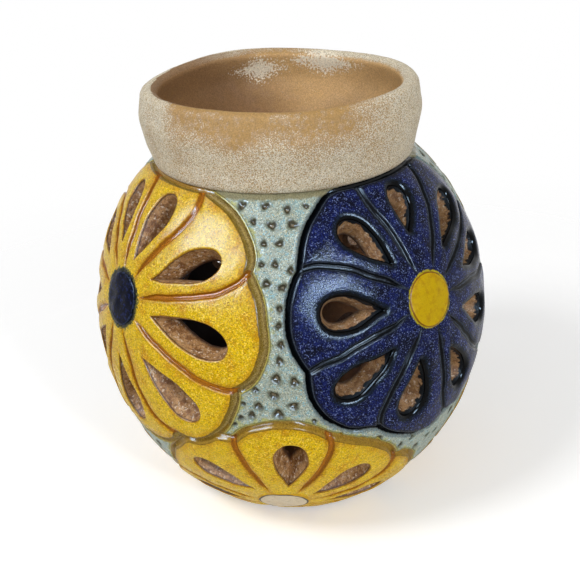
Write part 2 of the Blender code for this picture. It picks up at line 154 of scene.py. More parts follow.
# The front's pits as the photo shows them: azimuth, rise on the body's ellipse, and size over the usual one.
# Between the azimuths of the span there are no others
FRONT_PITS = (
    (-10.0, 48.0, 1.1), (-1.0, 48.0, 1.0), (7.0, 47.0, 1.0), (14.0, 47.5, 0.7), (-5.0, 44.0, 0.85),
    (1.5, 43.0, 1.1), (8.5, 43.0, 1.15), (-1.0, 38.5, 0.85), (4.0, 38.5, 0.95), (-1.5, 33.5, 0.75),
    (2.5, 33.5, 0.9), (7.0, 32.0, 0.9), (0.0, 29.0, 1.0), (4.5, 28.0, 1.0), (3.5, 23.0, 0.9),
    (3.0, 19.0, 0.85), (3.5, 14.5, 0.95), (3.0, 10.5, 1.0), (2.0, 6.0, 1.2), (6.5, 5.0, 1.2),
    (-3.5, 3.0, 0.8), (1.0, 1.5, 1.2), (-7.0, -1.0, 0.6), (-3.0, -1.5, 1.05), (6.0, -1.5, 1.1),
    (-5.0, -4.0, 0.9), (-8.0, -5.0, 0.7), (2.0, -3.5, 1.25), (-10.0, -7.0, 0.6), (11.0, -6.0, 0.6),
    (18.0, -11.0, 0.6), (24.0, -14.0, 0.9), (29.5, -15.5, 0.9), (38.0, -21.5, 0.8), (42.0, -20.5, 0.8),
    (46.0, -26.0, 0.9), (50.5, -24.0, 0.8), (55.0, -24.5, 0.8),
)
READ_SPAN = (-30.0, 60.0)

# Points along each part of a petal's rim and along the line of its window
ALONG_GROOVE = 60
ALONG_LOBE = 50
ALONG_CORE = 8
ALONG_WINDOW = 97
# Rows of a petal at these millimetres from its rim and its window, rows between those, and the most of the
# way that the first two take where it is short
ROWS_BY_RIM = np.array((0.0, 0.3, 0.6, 0.9, 1.2, 1.6, 2.1, 2.8, 3.6))
ROWS_BY_WINDOW = np.array((0.0, 0.1, 0.25, 0.45, 0.75, 1.1, 1.6, 2.3))
ROWS_BETWEEN = 4
ROWS_SHARE = 0.9
# Turns round a window that face the rim's corners, rows of its wall, points at which it is held against the
# floor, and turns at which its greatest width is looked for
TEAR_CORNERS = np.radians((12.0, 140.0, 220.0, 348.0))
WALL_ROWS = 9
WINDOW_POINTS = 9
TEAR_TRIALS = 181
# Millimetres from an outline within which the distance to it is worked out exactly
OUTLINE_REACH = 8.0

# Relief in millimetres: how far each feature sinks, or a ridge or bead rises, and then its width, or where it
# starts and ends, or a ridge's place and width. The undercut sinks by its first value for each millimetre and
# ends at its second. A pit's places are shares of its radius
PILLOW = (0.22, 6.0)
GROOVE_CUT = (1.2, 0.40, 1.60)
OUTLINE_CUT = (1.9, 1.5)
LIPS = {"yellow_glaze": (0.55, 0.9), "cobalt_glaze": (1.9, 2.6)}
GROUND_DEPTH = 1.0
GROUND_CUT = (1.75, 1.35)
GROUND_RIDGE = (0.35, 1.9, 0.5)
UNDERCUT = (0.6, 2.0)
COLLAR_BAND = (1.4, 0.8, 2.2)
FOOT_BAND = (1.2, 4.0, 14.0)
PIT_CUT = (1.3, 0.15, 1.05)
PIT_RIDGE = (0.12, 1.25, 0.22)
BEAD = (0.32, 0.42)
SKIRT = (0.8, 0.5)

# In millimetres: how much a window narrows towards the inside at its sides and at its tip, and the width of
# the clay turned out over the inside
WINDOW_TAPER = (2.2, 6.0, 3.2)
# The turned out clay bends this share of the way out, and lies this many millimetres deeper than the inside
# at the bend and at its end
FLANGE_BEND = 0.12
FLANGE_DEPTHS = (0.15, 0.12)

# Unevenness of hand work: height and wavelength in millimetres, and seed. The heights of the carved lines and
# of the slip's edge are in degrees, and those of the slip's ripples are shares. The carved lines shift across
# by the first seed and up by the second
LINE_WANDER = (0.16, 13.0, (11, 12))
PETAL_RIPPLE = (0.12, 11.0, 21)
WALL_RIPPLE = (0.15, 5.0, 31)
GROUND_RIPPLES = ((0.10, 9.0, 41), (0.05, 3.0, 42))
COLLAR_SWAY = ((0.55, 60.0, 51), (0.07, 9.0, 52))
LIP_SWAY = ((0.55, 70.0, 53), (0.06, 12.0, 54))
SLIP_RIPPLES = ((0.14, 16.0, 55), (0.08, 6.0, 56))
SLIP_EDGE = (4.0, 30.0, 57)
BUTTON_RIPPLE = (0.10, 7.0, 61)
# Waves of a ripple, and the least and greatest share of the usual turn to the millimetre that one has
WAVES = 7
WAVE_SPREAD = (0.7, 1.4)

# Pits away from the front: seed, distance between rows over that along a row, the chance shift, the least
# and greatest size, all as shares, and millimetres that they stay from the outlines and from the collar and
# the foot
PIT_SEED = 5
PIT_ROWS = 0.92
PIT_SHIFT = 0.15
PIT_SIZES = (0.78, 1.15)
PIT_CLEARANCES = (2.8, 3.0)
# How far a pit's edge swings in three lobes and in two, and how far out it is looked for, as shares of its
# radius
PIT_LOBES = (0.13, 0.12)
PIT_REACH = 3.0

# Halves of the ground: name, first and last azimuth, millimetres between points, and the node replaced
GROUND_HALVES = (("front", -95.0, 95.0, 0.55, ("vessel_wall",)), ("back", 95.0, 265.0, 0.70, ()))
# In millimetres: how far the ground goes down behind the floor's edge, how near the collar it is all kept,
# how far down from the middle the lower flowers' stains start, and how near a yellow outline the collar's
# groove is stained
GROUND_OVERLAP = 1.5
COLLAR_STRIP = 4.0
LOW_STAINS = 12.0
YELLOW_BAND = 0.6

# Grids of the turned pieces: rows along the section and columns round the axis
INSIDE_GRID = (130, 360)
BORE_ROWS = 6
FLOOR_GRID = (14, 192)
COLLAR_GRID = (110, 300)
# In millimetres: how much less than the windows the holes behind them are, at the sides and at the tip, and
# the width and height of the bevel round the foot
HOLE_TAPER = (0.4, 4.2)
FOOT_BEVEL = (0.8, 0.3)

# Knots of the collar's section, millimetres out and up: from the bore at the joint, from the base there, from
# the belly outside, and from the bore again. Then the lip's height as a share of a half round, and its points
COLLAR_START = ((0.2, -0.4),)
COLLAR_FOOT = ((-3.0, -1.0), (-0.9, -1.3), (0.1, -0.5), (0.7, 1.6))
COLLAR_BELLY = ((0.0, 0.0), (-0.4, 4.5))
COLLAR_END = ((2.2, 6.0), (0.0, -0.3))
LIP_FLATNESS = 0.92
LIP_POINTS = 9
# Shares of the height between which the collar's wall and its lip come free to sway, and by how much the
# wall's slow sway changes upwards, as a share of sideways
WALL_FREE = (0.0, 0.25)
LIP_FREE = (0.4, 1.0)
SWAY_UPWARDS = 0.3

# Where the slip has worn off the collar: in degrees from the front and from the back, in shares of the
# height, in millimetres within the lip's middle and down the inside, how much less so at the sides, how far
# round from the front and from the back the worn parts' middles are, and the most that counts
WORN_FRONT = (24.0, 54.0)
WORN_BACK = (10.0, 26.0)
WORN_HEIGHT = (0.34, 0.82)
WORN_LIP = (-1.5, 0.8)
WORN_INSIDE = (0.8, 2.8)
WORN_SIDES = (45.0, 75.0, 0.35)
WORN_MIDDLES = (-1.0, 6.0)
MOST_WORN = 1.3

# Button: shares of its spread at its rows and bearings of its columns, its lobes' share, in millimetres its
# depth at the middle and how much deeper its dome, its rounding and its skirt go, and the shares of the
# spread between which it rounds off
BUTTON_ROWS = np.append(np.linspace(0.0, 0.80, 12), (0.86, 0.91, 0.95, 0.98, 1.0, 1.0))[::-1, None]
BUTTON_BEARINGS = np.arange(0.0, 360.0, 5.0)
BUTTON_LOBES = 0.02
BUTTON_DEPTHS = (-0.5, 0.25, 1.1, 1.0)
BUTTON_ROUNDING = (0.86, 1.0)

# Painted highlights inside the collar, near-white patches that stand for glare: azimuth, half width in
# degrees and share of the height, and their half height as a share
PAINTED_GLARE_PATCHES = ((-163.0, 10.0, 0.70), (162.0, 15.0, 0.82))
PAINTED_GLARE_HEIGHT = 0.14
# Painted shade inside the collar, darker on the left: its mark is 0 this far left of the axis at the lip, in
# millimetres, and falls by the second value for each millimetre down. The mark of the inside falls from the
# last value at the lip
PAINTED_SHADE_START = (46.0, 0.9)
LIP_EDGE = 1.6

# Lamps: azimuth, elevation, distance, width, height and power in watts. The two panels are only mirrored:
# they give the glaze its broad cool sheen and cast no light
LAMPS = {
    "side_lamp": (34.0, 25.0, 1.0, 0.13, 0.13, 3.0),
    "top_lamp": (-48.0, 50.0, 1.2, 0.34, 0.34, 6.0),
    "right_panel": (30.0, 21.0, 1.0, 0.56, 0.25, 28.0),
    "left_panel": (-54.0, 38.0, 1.2, 1.00, 0.62, 68.0),
}
PANEL_COLOUR = (0.66, 0.95, 1.30)
# Floor: its reach, the distances from the vase between which it turns clear, its glow, its paint and that
# paint's roughness. Then the level of the surroundings as light
FLOOR_REACH = 1.5
FLOOR_FADE = (0.12, 0.42)
FLOOR_GLOW = 0.30
FLOOR_PAINT = (0.95, 0.95, 0.95)
FLOOR_ROUGHNESS = 0.9
SURROUNDING_LIGHT = 0.42
WHITE = (1.0, 1.0, 1.0)

# Camera: azimuth, elevation and roll, distance from the body's centre, nearest distance seen, focal length
# and sensor width in millimetres, and shift
CAMERA_TURN, CAMERA_RISE, CAMERA_ROLL = 6.8, 26.93, 3.06
CAMERA_DISTANCE = 0.4
CAMERA_NEAR = 0.01
CAMERA_SENSOR = 36.0
CAMERA_LENS = 58.954
CAMERA_SHIFT = (-0.0024, 0.0137)

# Settings of nodes: a gradual step, and noise that has a fourth coordinate
SOFT = {"interpolation_type": "SMOOTHSTEP"}
SOLID = {"noise_dimensions": "4D"}

# Fourth coordinates of a material's noises, the first one's and the step to the next, so that no two show the
# same clouds
TONE_CLOUDS = (0.0, 3.7)
STAIN_CLOUDS = (40.0, 2.9)
GRIT_CLOUD = 70.0
GRAIN_CLOUDS = (80.0, 5.3)
# Sizes of the clouds of grit and of gloss in millimetres, the span in which nearly all values of noise lie,
# and the share of the bumps and the roughness that are left where glaze has pooled
GRIT_SIZE = 0.42
GLOSS_SIZE = 4.0
NOISE_SPAN = {"From Min": 0.35, "From Max": 0.65}
POOL_BUMPS = 0.12
POOL_ROUGHNESS = 0.14


def size_setting(name, description, default):
    """Setting for a length in metres."""
    return FloatProperty(name=name, description=description, default=default, unit="LENGTH")


class VaseSizes(bpy.types.PropertyGroup):
    """Main sizes of the vase."""
    body_radius: size_setting("Body radius", "Radius of the flowers' outer face at the widest level", 0.080)
    body_drop: size_setting("Body drop", "Half height of the curve below the widest level", 0.090)
    body_rise: size_setting("Body rise", "Half height of the curve above the widest level", 0.085)
    foot_radius: size_setting("Foot radius", "Radius of the face that the vase stands on", 0.034)
    floor_thickness: size_setting("Floor thickness", "Thickness of the floor slab", 0.007)
    wall_thickness: size_setting("Wall thickness", "Thickness of the wall behind the flowers", 0.0078)
    relief_height: size_setting("Relief height", "Thickness of the flowers on the wall", 0.0022)
    bore_radius: size_setting("Neck bore", "Radius of the opening in the wall under the collar", 0.042)
    collar_height: size_setting("Collar height", "Height of the collar above the body", 0.027)
    collar_wall: size_setting("Collar wall", "Thickness of the collar", 0.0066)
    pit_width: size_setting("Pit width", "Usual width of the pits pressed into the ground", 0.0033)
    pit_spacing: size_setting("Pit spacing", "Distance between pits along a row", 0.0074)


def linear(code):
    """Linear red, green and blue of an sRGB hex value."""
    share = np.array([int(code[i:i + 2], 16) / 255.0 for i in (1, 3, 5)])
    return tuple(np.where(share <= 0.04045, share / 12.92, ((share + 0.055) / 1.055) ** 2.4))


def colour_setting(name, description, code):
    """Setting for a colour whose default is an sRGB hex value."""
    return FloatVectorProperty(
        name=name, description=description, subtype="COLOR", default=linear(code), min=0.0, max=1.0)


class VaseColours(bpy.types.PropertyGroup):
    """Main colours of the vase."""
    lemon: colour_setting("Lemon", "Yellow glaze where it lies thick", "#D6B204")
    amber: colour_setting("Amber", "Yellow glaze where it thins or pools", "#B47C0A")
    cobalt: colour_setting("Cobalt", "Blue glaze of the petals", "#111C54")
    ink: colour_setting("Ink", "Blue glaze where it pools black", "#050709")
    turquoise: colour_setting("Turquoise", "Thin glaze of the ground", "#9EA698")
    clay: colour_setting("Clay", "Bare fired clay", "#AE8A5A")
    slip: colour_setting("Slip", "White slip brushed on the collar", "#D8CDB4")
    navy: colour_setting("Navy", "Glaze of the yellow flowers' buttons", "#060A1C")
    cream: colour_setting("Cream", "Glaze of the lower flowers' buttons", "#D2C3A8")


# Form of the body


def form(sizes):
    """Levels and radii worked out from the sizes, by the ellipse of each surface of the body."""
    relief = sizes.relief_height
    outer = (sizes.body_radius, sizes.body_drop, sizes.body_rise)
    face, face_drop, face_rise = (size - relief for size in outer)
    foot = -face_drop * math.sqrt(1.0 - (sizes.foot_radius / face) ** 2)
    floor = foot + sizes.floor_thickness
    seat_radius = sizes.bore_radius + COLLAR_SEAT_WIDTH
    wall_top = face_rise * math.sqrt(1.0 - (seat_radius / face) ** 2)
    return Form(
        radius=sizes.body_radius, drop=sizes.body_drop, rise=sizes.body_rise, centre=-foot,
        back=relief + sizes.wall_thickness, bore=sizes.bore_radius, floor=floor, seat=floor - FLOOR_SEAT,
        wall_top=wall_top, collar=wall_top + JOINT_GAP, slab_top=wall_top - COLLAR_GROOVE,
        slab_bottom=foot + FOOT_CLEARANCE, collar_base=seat_radius + COLLAR_OVERHANG)


def shell(body, rays, depth):
    """Points where rays from the body's centre meet the surface this deep: the ray over the square root of
    (across / radius) squared plus (up / half height) squared, each size less the depth."""
    half = np.where(rays[..., 2] > 0.0, body.rise, body.drop) - depth
    across = np.hypot(rays[..., 0], rays[..., 1]) / (body.radius - depth)
    points = rays / np.sqrt(across ** 2 + (rays[..., 2] / half) ** 2)[..., None]
    points[..., 2] += body.centre
    return points


def radius_at(body, levels, depth):
    """Radius of the surface this deep at levels above the body's centre, by the same ellipse."""
    half = np.where(levels > 0.0, body.rise, body.drop) - depth
    return (body.radius - depth) * np.sqrt(1.0 - (levels / half) ** 2)


def unit(vectors):
    """Vectors over their lengths."""
    return vectors / np.linalg.norm(vectors, axis=-1, keepdims=True)


def smooth(start, end, values):
    """0 before start, 1 after end, and 3 t t - 2 t t t of the way between."""
    share = np.clip((values - start) / (end - start), 0.0, 1.0)
    return share * share * (3.0 - 2.0 * share)


def ripple(points, height, wavelength, seed):
    """Unevenness of about a height: the sum of sines of the place along a few chance directions, over the
    square root of their number."""
    draw = np.random.default_rng(seed)
    ways = unit(draw.normal(size=(WAVES, 3))) * draw.uniform(*WAVE_SPREAD, (WAVES, 1))
    turns = points @ ways.T * (2.0 * math.pi / (wavelength * MM)) + draw.uniform(0.0, 2.0 * math.pi, WAVES)
    return height * (np.sin(turns).sum(axis=-1) / math.sqrt(WAVES))


def polar(points):
    """Bearing and spread of places given across and up."""
    across, up = points[..., 0], points[..., 1]
    return np.degrees(np.arctan2(up, across)) % 360.0, np.hypot(across, up)


def flat(bearings, spreads):
    """Places across and up, from bearings and spreads."""
    turns = np.radians(bearings)
    return np.stack((spreads * np.cos(turns), spreads * np.sin(turns)), axis=-1)


def facing(azimuth, elevation):
    """Unit vectors outwards, to the right and up at an azimuth and elevation, as seen from outside."""
    turn, rise = math.radians(azimuth), math.radians(elevation)
    out = np.array((math.sin(turn) * math.cos(rise), -math.cos(turn) * math.cos(rise), math.sin(rise)))
    right = np.array((math.cos(turn), math.sin(turn), 0.0))
    return out, right, np.cross(out, right)


def to_rays(flower, places):
    """Rays of places on a flower: the centre turned towards the place by its spread times the scale."""
    centre, right, up = facing(flower.azimuth, flower.latitude)
    reach = np.maximum(np.hypot(places[..., 0], places[..., 1]), 1e-9)[..., None]
    spread = np.radians(reach * flower.scale)
    return np.cos(spread) * centre + np.sin(spread) * (places[..., :1] * right + places[..., 1:] * up) / reach


def to_places(flower, rays):
    """Places of rays on a flower: the inverse of to_rays."""
    centre, right, up = facing(flower.azimuth, flower.latitude)
    spread = np.degrees(np.arccos(np.clip(rays @ centre, -1.0, 1.0))) / flower.scale
    side = np.stack((rays @ right, rays @ up), axis=-1)
    return side * (spread / np.maximum(np.linalg.norm(side, axis=-1), 1e-12))[..., None]


def gap(points, lines):
    """Distance in millimetres from each point to the nearest of the lines: the foot of the perpendicular on
    each segment, held between its ends, and the least over all segments."""
    starts = np.concatenate([line[:-1] for line in lines])
    steps = np.concatenate([line[1:] - line[:-1] for line in lines])
    squares = np.maximum((steps ** 2).sum(axis=1), 1e-16)
    flat_points = points.reshape(-1, 3)
    least = np.empty(len(flat_points))
    size = max(1, BLOCK // len(starts))
    for first in range(0, len(flat_points), size):
        away = flat_points[first:first + size, None, :] - starts
        share = np.clip((away * steps).sum(axis=2) / squares, 0.0, 1.0)
        away -= share[..., None] * steps
        least[first:first + size] = np.sqrt((away ** 2).sum(axis=2).min(axis=1))
    return least.reshape(points.shape[:-1]) / MM


# Carved lines of a flower


def groove_line(petal):
    """A petal's clockwise edge: its bearing turns by hook times the fourth power of the way to the notch."""
    spreads = np.linspace(RING_SPREAD, petal.notch, ALONG_GROOVE)
    share = np.clip((spreads - HOOK_START) / (petal.notch - HOOK_START), 0.0, 1.0)
    return flat(petal.edge + petal.hook * share ** HOOK_POWER, spreads)


def lobe_lines(petals):
    """The outline's part at each petal: the quartic through the notch, the three lobe spreads and the next
    notch."""
    lines = []
    share = np.linspace(0.0, 1.0, ALONG_LOBE)
    for petal, after in zip(petals, petals[1:] + petals[:1]):
        first, last = petal.edge + petal.hook, after.edge + after.hook
        curve = np.polyfit(np.linspace(0.0, 1.0, 5), (petal.notch, *petal.lobe, after.notch), 4)
        lines.append(flat(first + share * ((last - first) % 360.0), np.polyval(curve, share)))
    return lines


def tear_axis(petal):
    """Tip and length of a petal's window, and the unit vectors along it and clockwise across it."""
    tip, end = flat(*petal.tip), flat(*petal.end)
    length = np.hypot(*(end - tip))
    along = (end - tip) / length
    return tip, length, along, np.array((along[1], -along[0]))


def tear_width(turns):
    """A window's half width over its greatest: sin of the turn times |sin of half the turn| to a power."""
    trial = np.linspace(0.0, math.pi, TEAR_TRIALS)
    widest = (np.sin(trial) * np.sin(trial / 2.0) ** TEAR_POWER).max()
    return np.sin(turns) * np.abs(np.sin(turns / 2.0)) ** TEAR_POWER / widest


def tear(petal, turns, shrink=0.0, tip_shrink=0.0):
    """Window outline: along the axis (1 - cos) / 2 of the turn, and across it the width above. The turn runs
    from the tip by the clockwise side to the round end."""
    tip, length, along, across = tear_axis(petal)
    run = tip_shrink + (1.0 - np.cos(turns)) / 2.0 * (length - shrink - tip_shrink)
    side = tear_width(turns) * max(petal.half - shrink, 0.0)
    return tip + run[:, None] * along + side[:, None] * across


def within_tear(petal, places, shrink, tip_shrink):
    """Whether places lie inside a window outline shrunk by these degrees: the inverse of tear."""
    tip, length, along, across = tear_axis(petal)
    away = places - tip
    run = (away @ along - tip_shrink) / (length - shrink - tip_shrink)
    width = tear_width(np.arccos(np.clip(1.0 - 2.0 * run, -1.0, 1.0))) * (petal.half - shrink)
    return (run > 0.0) & (run < 1.0) & (np.abs(away @ across) < width)


def keep_clear(body, flower, places):
    """Places moved straight out of the flowers carved before, down from the collar and up from the foot."""
    rays = to_rays(flower, places)
    for other in FLOWERS[:FLOWERS.index(flower)]:
        bearings, spreads = polar(to_places(other, rays))
        edge = outline_spread(body, other, bearings)
        inside = (spreads < edge)[:, None]
        rays = np.where(inside, to_rays(other, flat(bearings, edge)), rays)
    levels = shell(body, rays, 0.0)[:, 2] - body.centre
    held = np.clip(levels, body.slab_bottom, body.slab_top)
    around = unit(rays[:, :2]) * radius_at(body, held, 0.0)[:, None]
    moved = unit(np.column_stack((around, held)))
    return np.where((levels != held)[:, None], moved, rays)


def wander(body, flower, places):
    """Places shifted by the unevenness of a hand-drawn line."""
    amount, wavelength, seeds = LINE_WANDER
    points = shell(body, to_rays(flower, places), 0.0)
    shift = np.stack([ripple(points, 1.0, wavelength, seed) for seed in seeds], axis=-1)
    return places + amount / flower.scale * shift


# Bearings and spreads along the outline of each flower that has been worked out
OUTLINES = {}


def outline_spread(body, flower, bearings):
    """Spread of a flower's outline at bearings, between the points of its lobes."""
    if flower.name not in OUTLINES:
        lobes = [wander(body, flower, line)[:-1] for line in lobe_lines(flower.petals)]
        OUTLINES[flower.name] = polar(np.concatenate(lobes))
    known, spreads = OUTLINES[flower.name]
    return np.interp(bearings, known, spreads, period=360.0)


def window_open(body, flower, petal):
    """Whether a petal has a window, and it stays above the floor all the way through the wall."""
    if petal.half <= 0.0:
        return False
    turns = np.linspace(0.0, 2.0 * math.pi, WINDOW_POINTS)
    levels = shell(body, to_rays(flower, tear(petal, turns)), body.back)[:, 2] - body.centre
    return levels.min() > body.floor + WINDOW_FLOOR_CLEARANCE


def carved_lines(body, flower):
    """All lines of a flower, wandered and kept clear, as points on the outer face."""
    edges = [[shell(body, keep_clear(body, flower, wander(body, flower, line)), 0.0) for line in lines]
             for lines in (map(groove_line, flower.petals), lobe_lines(flower.petals))]
    turns = np.linspace(0.0, 2.0 * math.pi, ALONG_WINDOW)
    windows = [shell(body, to_rays(flower, wander(body, flower, tear(petal, turns))), 0.0)
               if window_open(body, flower, petal) else None for petal in flower.petals]
    return Lines(*edges, windows)


# Meshes


def quads(rows, columns, closed):
    """Faces of a grid whose rows run one after another. Closed joins the last column to the first."""
    row = np.arange(rows - 1)[:, None] * columns
    column = np.arange(columns if closed else columns - 1)[None, :]
    after = (column + 1) % columns
    corners = (row + column, row + after, row + columns + after, row + columns + column)
    return np.stack(corners, -1).reshape(-1, 4)


def add_piece(name, parts, slot, material, replaced=()):
    """Object made from parts, welded where they meet. It rides on the body."""
    offsets = np.cumsum([0] + [part.points.size // 3 for part in parts[:-1]])
    mesh = bpy.data.meshes.new(name)
    points = np.concatenate([part.points.reshape(-1, 3) for part in parts])
    faces = np.concatenate([part.faces + offset for part, offset in zip(parts, offsets)])
    mesh.from_pydata(points, [], faces.tolist())
    for key in parts[0].marks:
        values = np.concatenate([part.marks[key].reshape(-1) for part in parts]).astype(np.float32)
        mesh.attributes.new(key, "FLOAT", "POINT").data.foreach_set("value", values)
    welded = bmesh.new()
    welded.from_mesh(mesh)
    bmesh.ops.remove_doubles(welded, verts=welded.verts, dist=WELD)
    loose = [vertex for vertex in welded.verts if not vertex.link_faces]
    bmesh.ops.delete(welded, geom=loose, context="VERTS")
    welded.to_mesh(mesh)
    welded.free()
    mesh.polygons.foreach_set("use_smooth", np.ones(len(mesh.polygons), bool))
    mesh.update()
    piece = bpy.data.objects.new(name, mesh)
    bpy.context.scene.collection.objects.link(piece)
    piece.data.materials.append(material)
    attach(piece, BODY)
    if replaced:
        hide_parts(*replaced)


def petal_rows(rim, window, reach):
    """Places between a rim and a window outline: rows at set distances from each and evenly between. Reach is
    how far the skirt goes out past the rim, in millimetres at each point."""
    across = window - rim
    length = np.maximum(np.hypot(across[:, 0], across[:, 1]), 1e-6)
    room = length * DEGREE
    squeeze = np.minimum(1.0, room / (ROWS_BY_RIM[-1] + ROWS_BY_WINDOW[-1]) * ROWS_SHARE)
    near = ROWS_BY_RIM[:, None] * squeeze
    far = room - ROWS_BY_WINDOW[::-1, None] * squeeze
    between = np.linspace(0.0, 1.0, ROWS_BETWEEN + 2)[1:-1, None]
    middle = near[-1] + between * (far[0] - near[-1])
    steps = np.concatenate((-reach[None, :], near, middle, far)) / DEGREE
    return rim + steps[..., None] * (across / length[:, None])


def petal_parts(body, flower, lines, index):
    """One petal's glazed face, and the clay wall of its window or None. The button's glaze has dripped on the
    upper flowers' petals alone, and the outline is stained low down on the lower flowers' alone."""
    petals = flower.petals
    petal, after = petals[index], petals[(index + 1) % len(petals)]
    start = petal.edge + (after.edge - petal.edge) % 360.0
    core = flat(np.linspace(start, petal.edge, ALONG_CORE), np.full(ALONG_CORE, RING_SPREAD))
    sides = (groove_line(petal), lobe_lines(petals)[index], groove_line(after)[::-1], core)
    loop = wander(body, flower, np.concatenate([side[:-1] for side in sides]))
    rim = to_places(flower, keep_clear(body, flower, loop))
    bounds = np.append(TEAR_CORNERS, TEAR_CORNERS[0] + 2.0 * math.pi)
    turns = np.concatenate([np.linspace(bounds[i], bounds[i + 1], len(side))[:-1]
                            for i, side in enumerate(sides)])
    has_window = lines.windows[index] is not None
    window = wander(body, flower, tear(petal if has_window else petal._replace(half=0.0), turns))
    on_lobe = slice(ALONG_GROOVE, ALONG_GROOVE + ALONG_LOBE - 2)
    reach = np.zeros(len(rim))
    reach[on_lobe] = SKIRT[1]
    places = petal_rows(rim, window, reach)
    rays = to_rays(flower, places)
    points = shell(body, rays, 0.0)
    near = [index - 1, index, (index + 1) % len(petals)]
    marks = {
        "groove_mm": gap(points, [lines.grooves[i] for i in near[1:]]),
        "outline_mm": gap(points, [lines.lobes[i] for i in near]),
        "window_mm": gap(points, [lines.windows[index]]) if has_window else np.full(places.shape[:2], FAR),
        "core_mm": (polar(places)[1] - BUTTON_SPREAD) * flower.scale * DEGREE,
    }
    lower = petals is LOWER_PETALS
    marks["drip_mm"] = marks["core_mm"] + (FAR if lower else 0.0)
    marks["low_mm"] = marks["outline_mm"] + (0.0 if lower else FAR)
    first, last, narrower = GROOVE_FADE
    share = np.clip((marks["core_mm"] - first) / (last - first), -1.0, 1.0)
    marks["groove_mm"] = marks["groove_mm"] + narrower * (1.0 - share) ** 2
    depth = petal_depth(marks, LIPS[flower.glaze]) + ripple(points, *PETAL_RIPPLE)
    depth[0, on_lobe] += SKIRT[0]
    face = Part(shell(body, rays, depth * MM), quads(*depth.shape, True), marks)
    return face, window_wall(body, flower, petal, turns, rays[-1], depth[-1]) if has_window else None


def petal_depth(marks, lip):
    """Depth of a petal's face in millimetres: pillowed towards its edges, cut by the grooves and the outline,
    with a bead left along each groove's middle, and rounded into the window by a quarter circle."""
    edge = np.minimum(marks["groove_mm"], marks["outline_mm"])
    pillow = PILLOW[0] * (1.0 - smooth(0.0, PILLOW[1], edge))
    groove = GROOVE_CUT[0] * (1.0 - smooth(*GROOVE_CUT[1:], marks["groove_mm"]))
    groove -= BEAD[0] * np.exp(-(marks["groove_mm"] / BEAD[1]) ** 2)
    outline = OUTLINE_CUT[0] * (1.0 - smooth(0.0, OUTLINE_CUT[1], marks["outline_mm"]))
    inward = 1.0 - np.clip(marks["window_mm"] / lip[1], 0.0, 1.0)
    return pillow + np.maximum(groove, outline) + lip[0] * (1.0 - np.sqrt(1.0 - inward ** 2))


def window_wall(body, flower, petal, turns, edge_rays, edge_depth):
    """A window's clay wall: straight from the glazed edge to the smaller inner outline, then out over the
    inside of the vase."""
    taper, tip_taper, width = (millimetres / DEGREE for millimetres in WINDOW_TAPER)
    inner = to_rays(flower, tear(petal, turns, taper, tip_taper))
    outer = to_rays(flower, tear(petal, turns, taper - width, tip_taper - width))
    share = np.linspace(0.0, 1.0, WALL_ROWS)[:, None, None]
    rays = unit(edge_rays + share * (inner - edge_rays))
    back = body.back / MM
    depth = edge_depth + share[..., 0] * (back - edge_depth)
    rays = np.concatenate((rays, unit(inner + FLANGE_BEND * (outer - inner))[None], outer[None]))
    flange = [np.full((1, depth.shape[1]), back + deeper) for deeper in FLANGE_DEPTHS]
    depth = np.concatenate((depth, *flange))
    lifted = shell(body, rays, 0.0) + np.array((0.0, 0.0, 1.0)) * depth[..., None] * MM
    depth[1:-2] += ripple(lifted, *WALL_RIPPLE)[1:-2]
    inwards = depth - edge_depth
    marks = {"inwards_mm": inwards, "inner_mm": np.maximum(back - depth, 0.0),
             "ink_mm": inwards if flower.glaze == "cobalt_glaze" else np.full(depth.shape, FAR)}
    return Part(shell(body, rays, depth * MM), quads(*depth.shape, True), marks)


def turned_part(profile, around):
    """Points and faces of a turned shape: each profile point, radius and level, carried round the axis."""
    turns = np.linspace(0.0, 2.0 * math.pi, around, endpoint=False)
    radii, levels = profile[:, :1], profile[:, 1:]
    levels = np.broadcast_to(levels, (len(profile), around))
    points = np.stack((radii * np.sin(turns), -radii * np.cos(turns), levels), axis=-1)
    return points, quads(len(profile), around, True)


def bend(knots, count):
    """Smooth line through knots: cubic pieces whose slope at a knot is half the step between its
    neighbours."""
    knots = np.array(knots)
    ends = np.vstack((2.0 * knots[0] - knots[1], knots, 2.0 * knots[-1] - knots[-2]))
    lengths = np.append(0.0, np.cumsum(np.linalg.norm(np.diff(knots, axis=0), axis=1)))
    at = np.interp(np.linspace(0.0, lengths[-1], count), lengths, np.arange(len(knots)))
    first = np.minimum(at.astype(int), len(knots) - 2)
    share = (at - first)[:, None]
    before, start, end, after = (ends[first + i] for i in range(4))
    return 0.5 * (2.0 * start + (end - before) * share
                  + (2.0 * before - 5.0 * start + 4.0 * end - after) * share ** 2
                  + (3.0 * start - before - 3.0 * end + after) * share ** 3)


def outline_distances(body, points, rays, flowers):
    """Signed distance in millimetres to the nearest outline of the flowers, less than 0 inside and FAR at
    most. It is exact near an outline, and the spread past it elsewhere."""
    nearest = np.full(points.shape[:-1], FAR)
    for flower in flowers:
        bearings, spreads = polar(to_places(flower, rays))
        beyond = (spreads - outline_spread(body, flower, bearings)) * flower.scale * DEGREE
        close = np.abs(beyond) < OUTLINE_REACH
        beyond[close] = np.sign(beyond[close]) * gap(points[close], carved_lines(body, flower).lobes)
        nearest = np.where(beyond < nearest, beyond, nearest)
    return nearest


# Ground


def ground_rays(body, turns, rises):
    """Rays to the body's outer face at turns round it and angles of rise on its ellipse."""
    level = np.where(rises > 0.0, body.rise, body.drop) * np.sin(rises)
    around = body.radius * np.cos(rises)
    level = np.broadcast_to(level, np.broadcast(level, turns).shape)
    return unit(np.stack((around * np.sin(turns), -around * np.cos(turns), level), axis=-1))


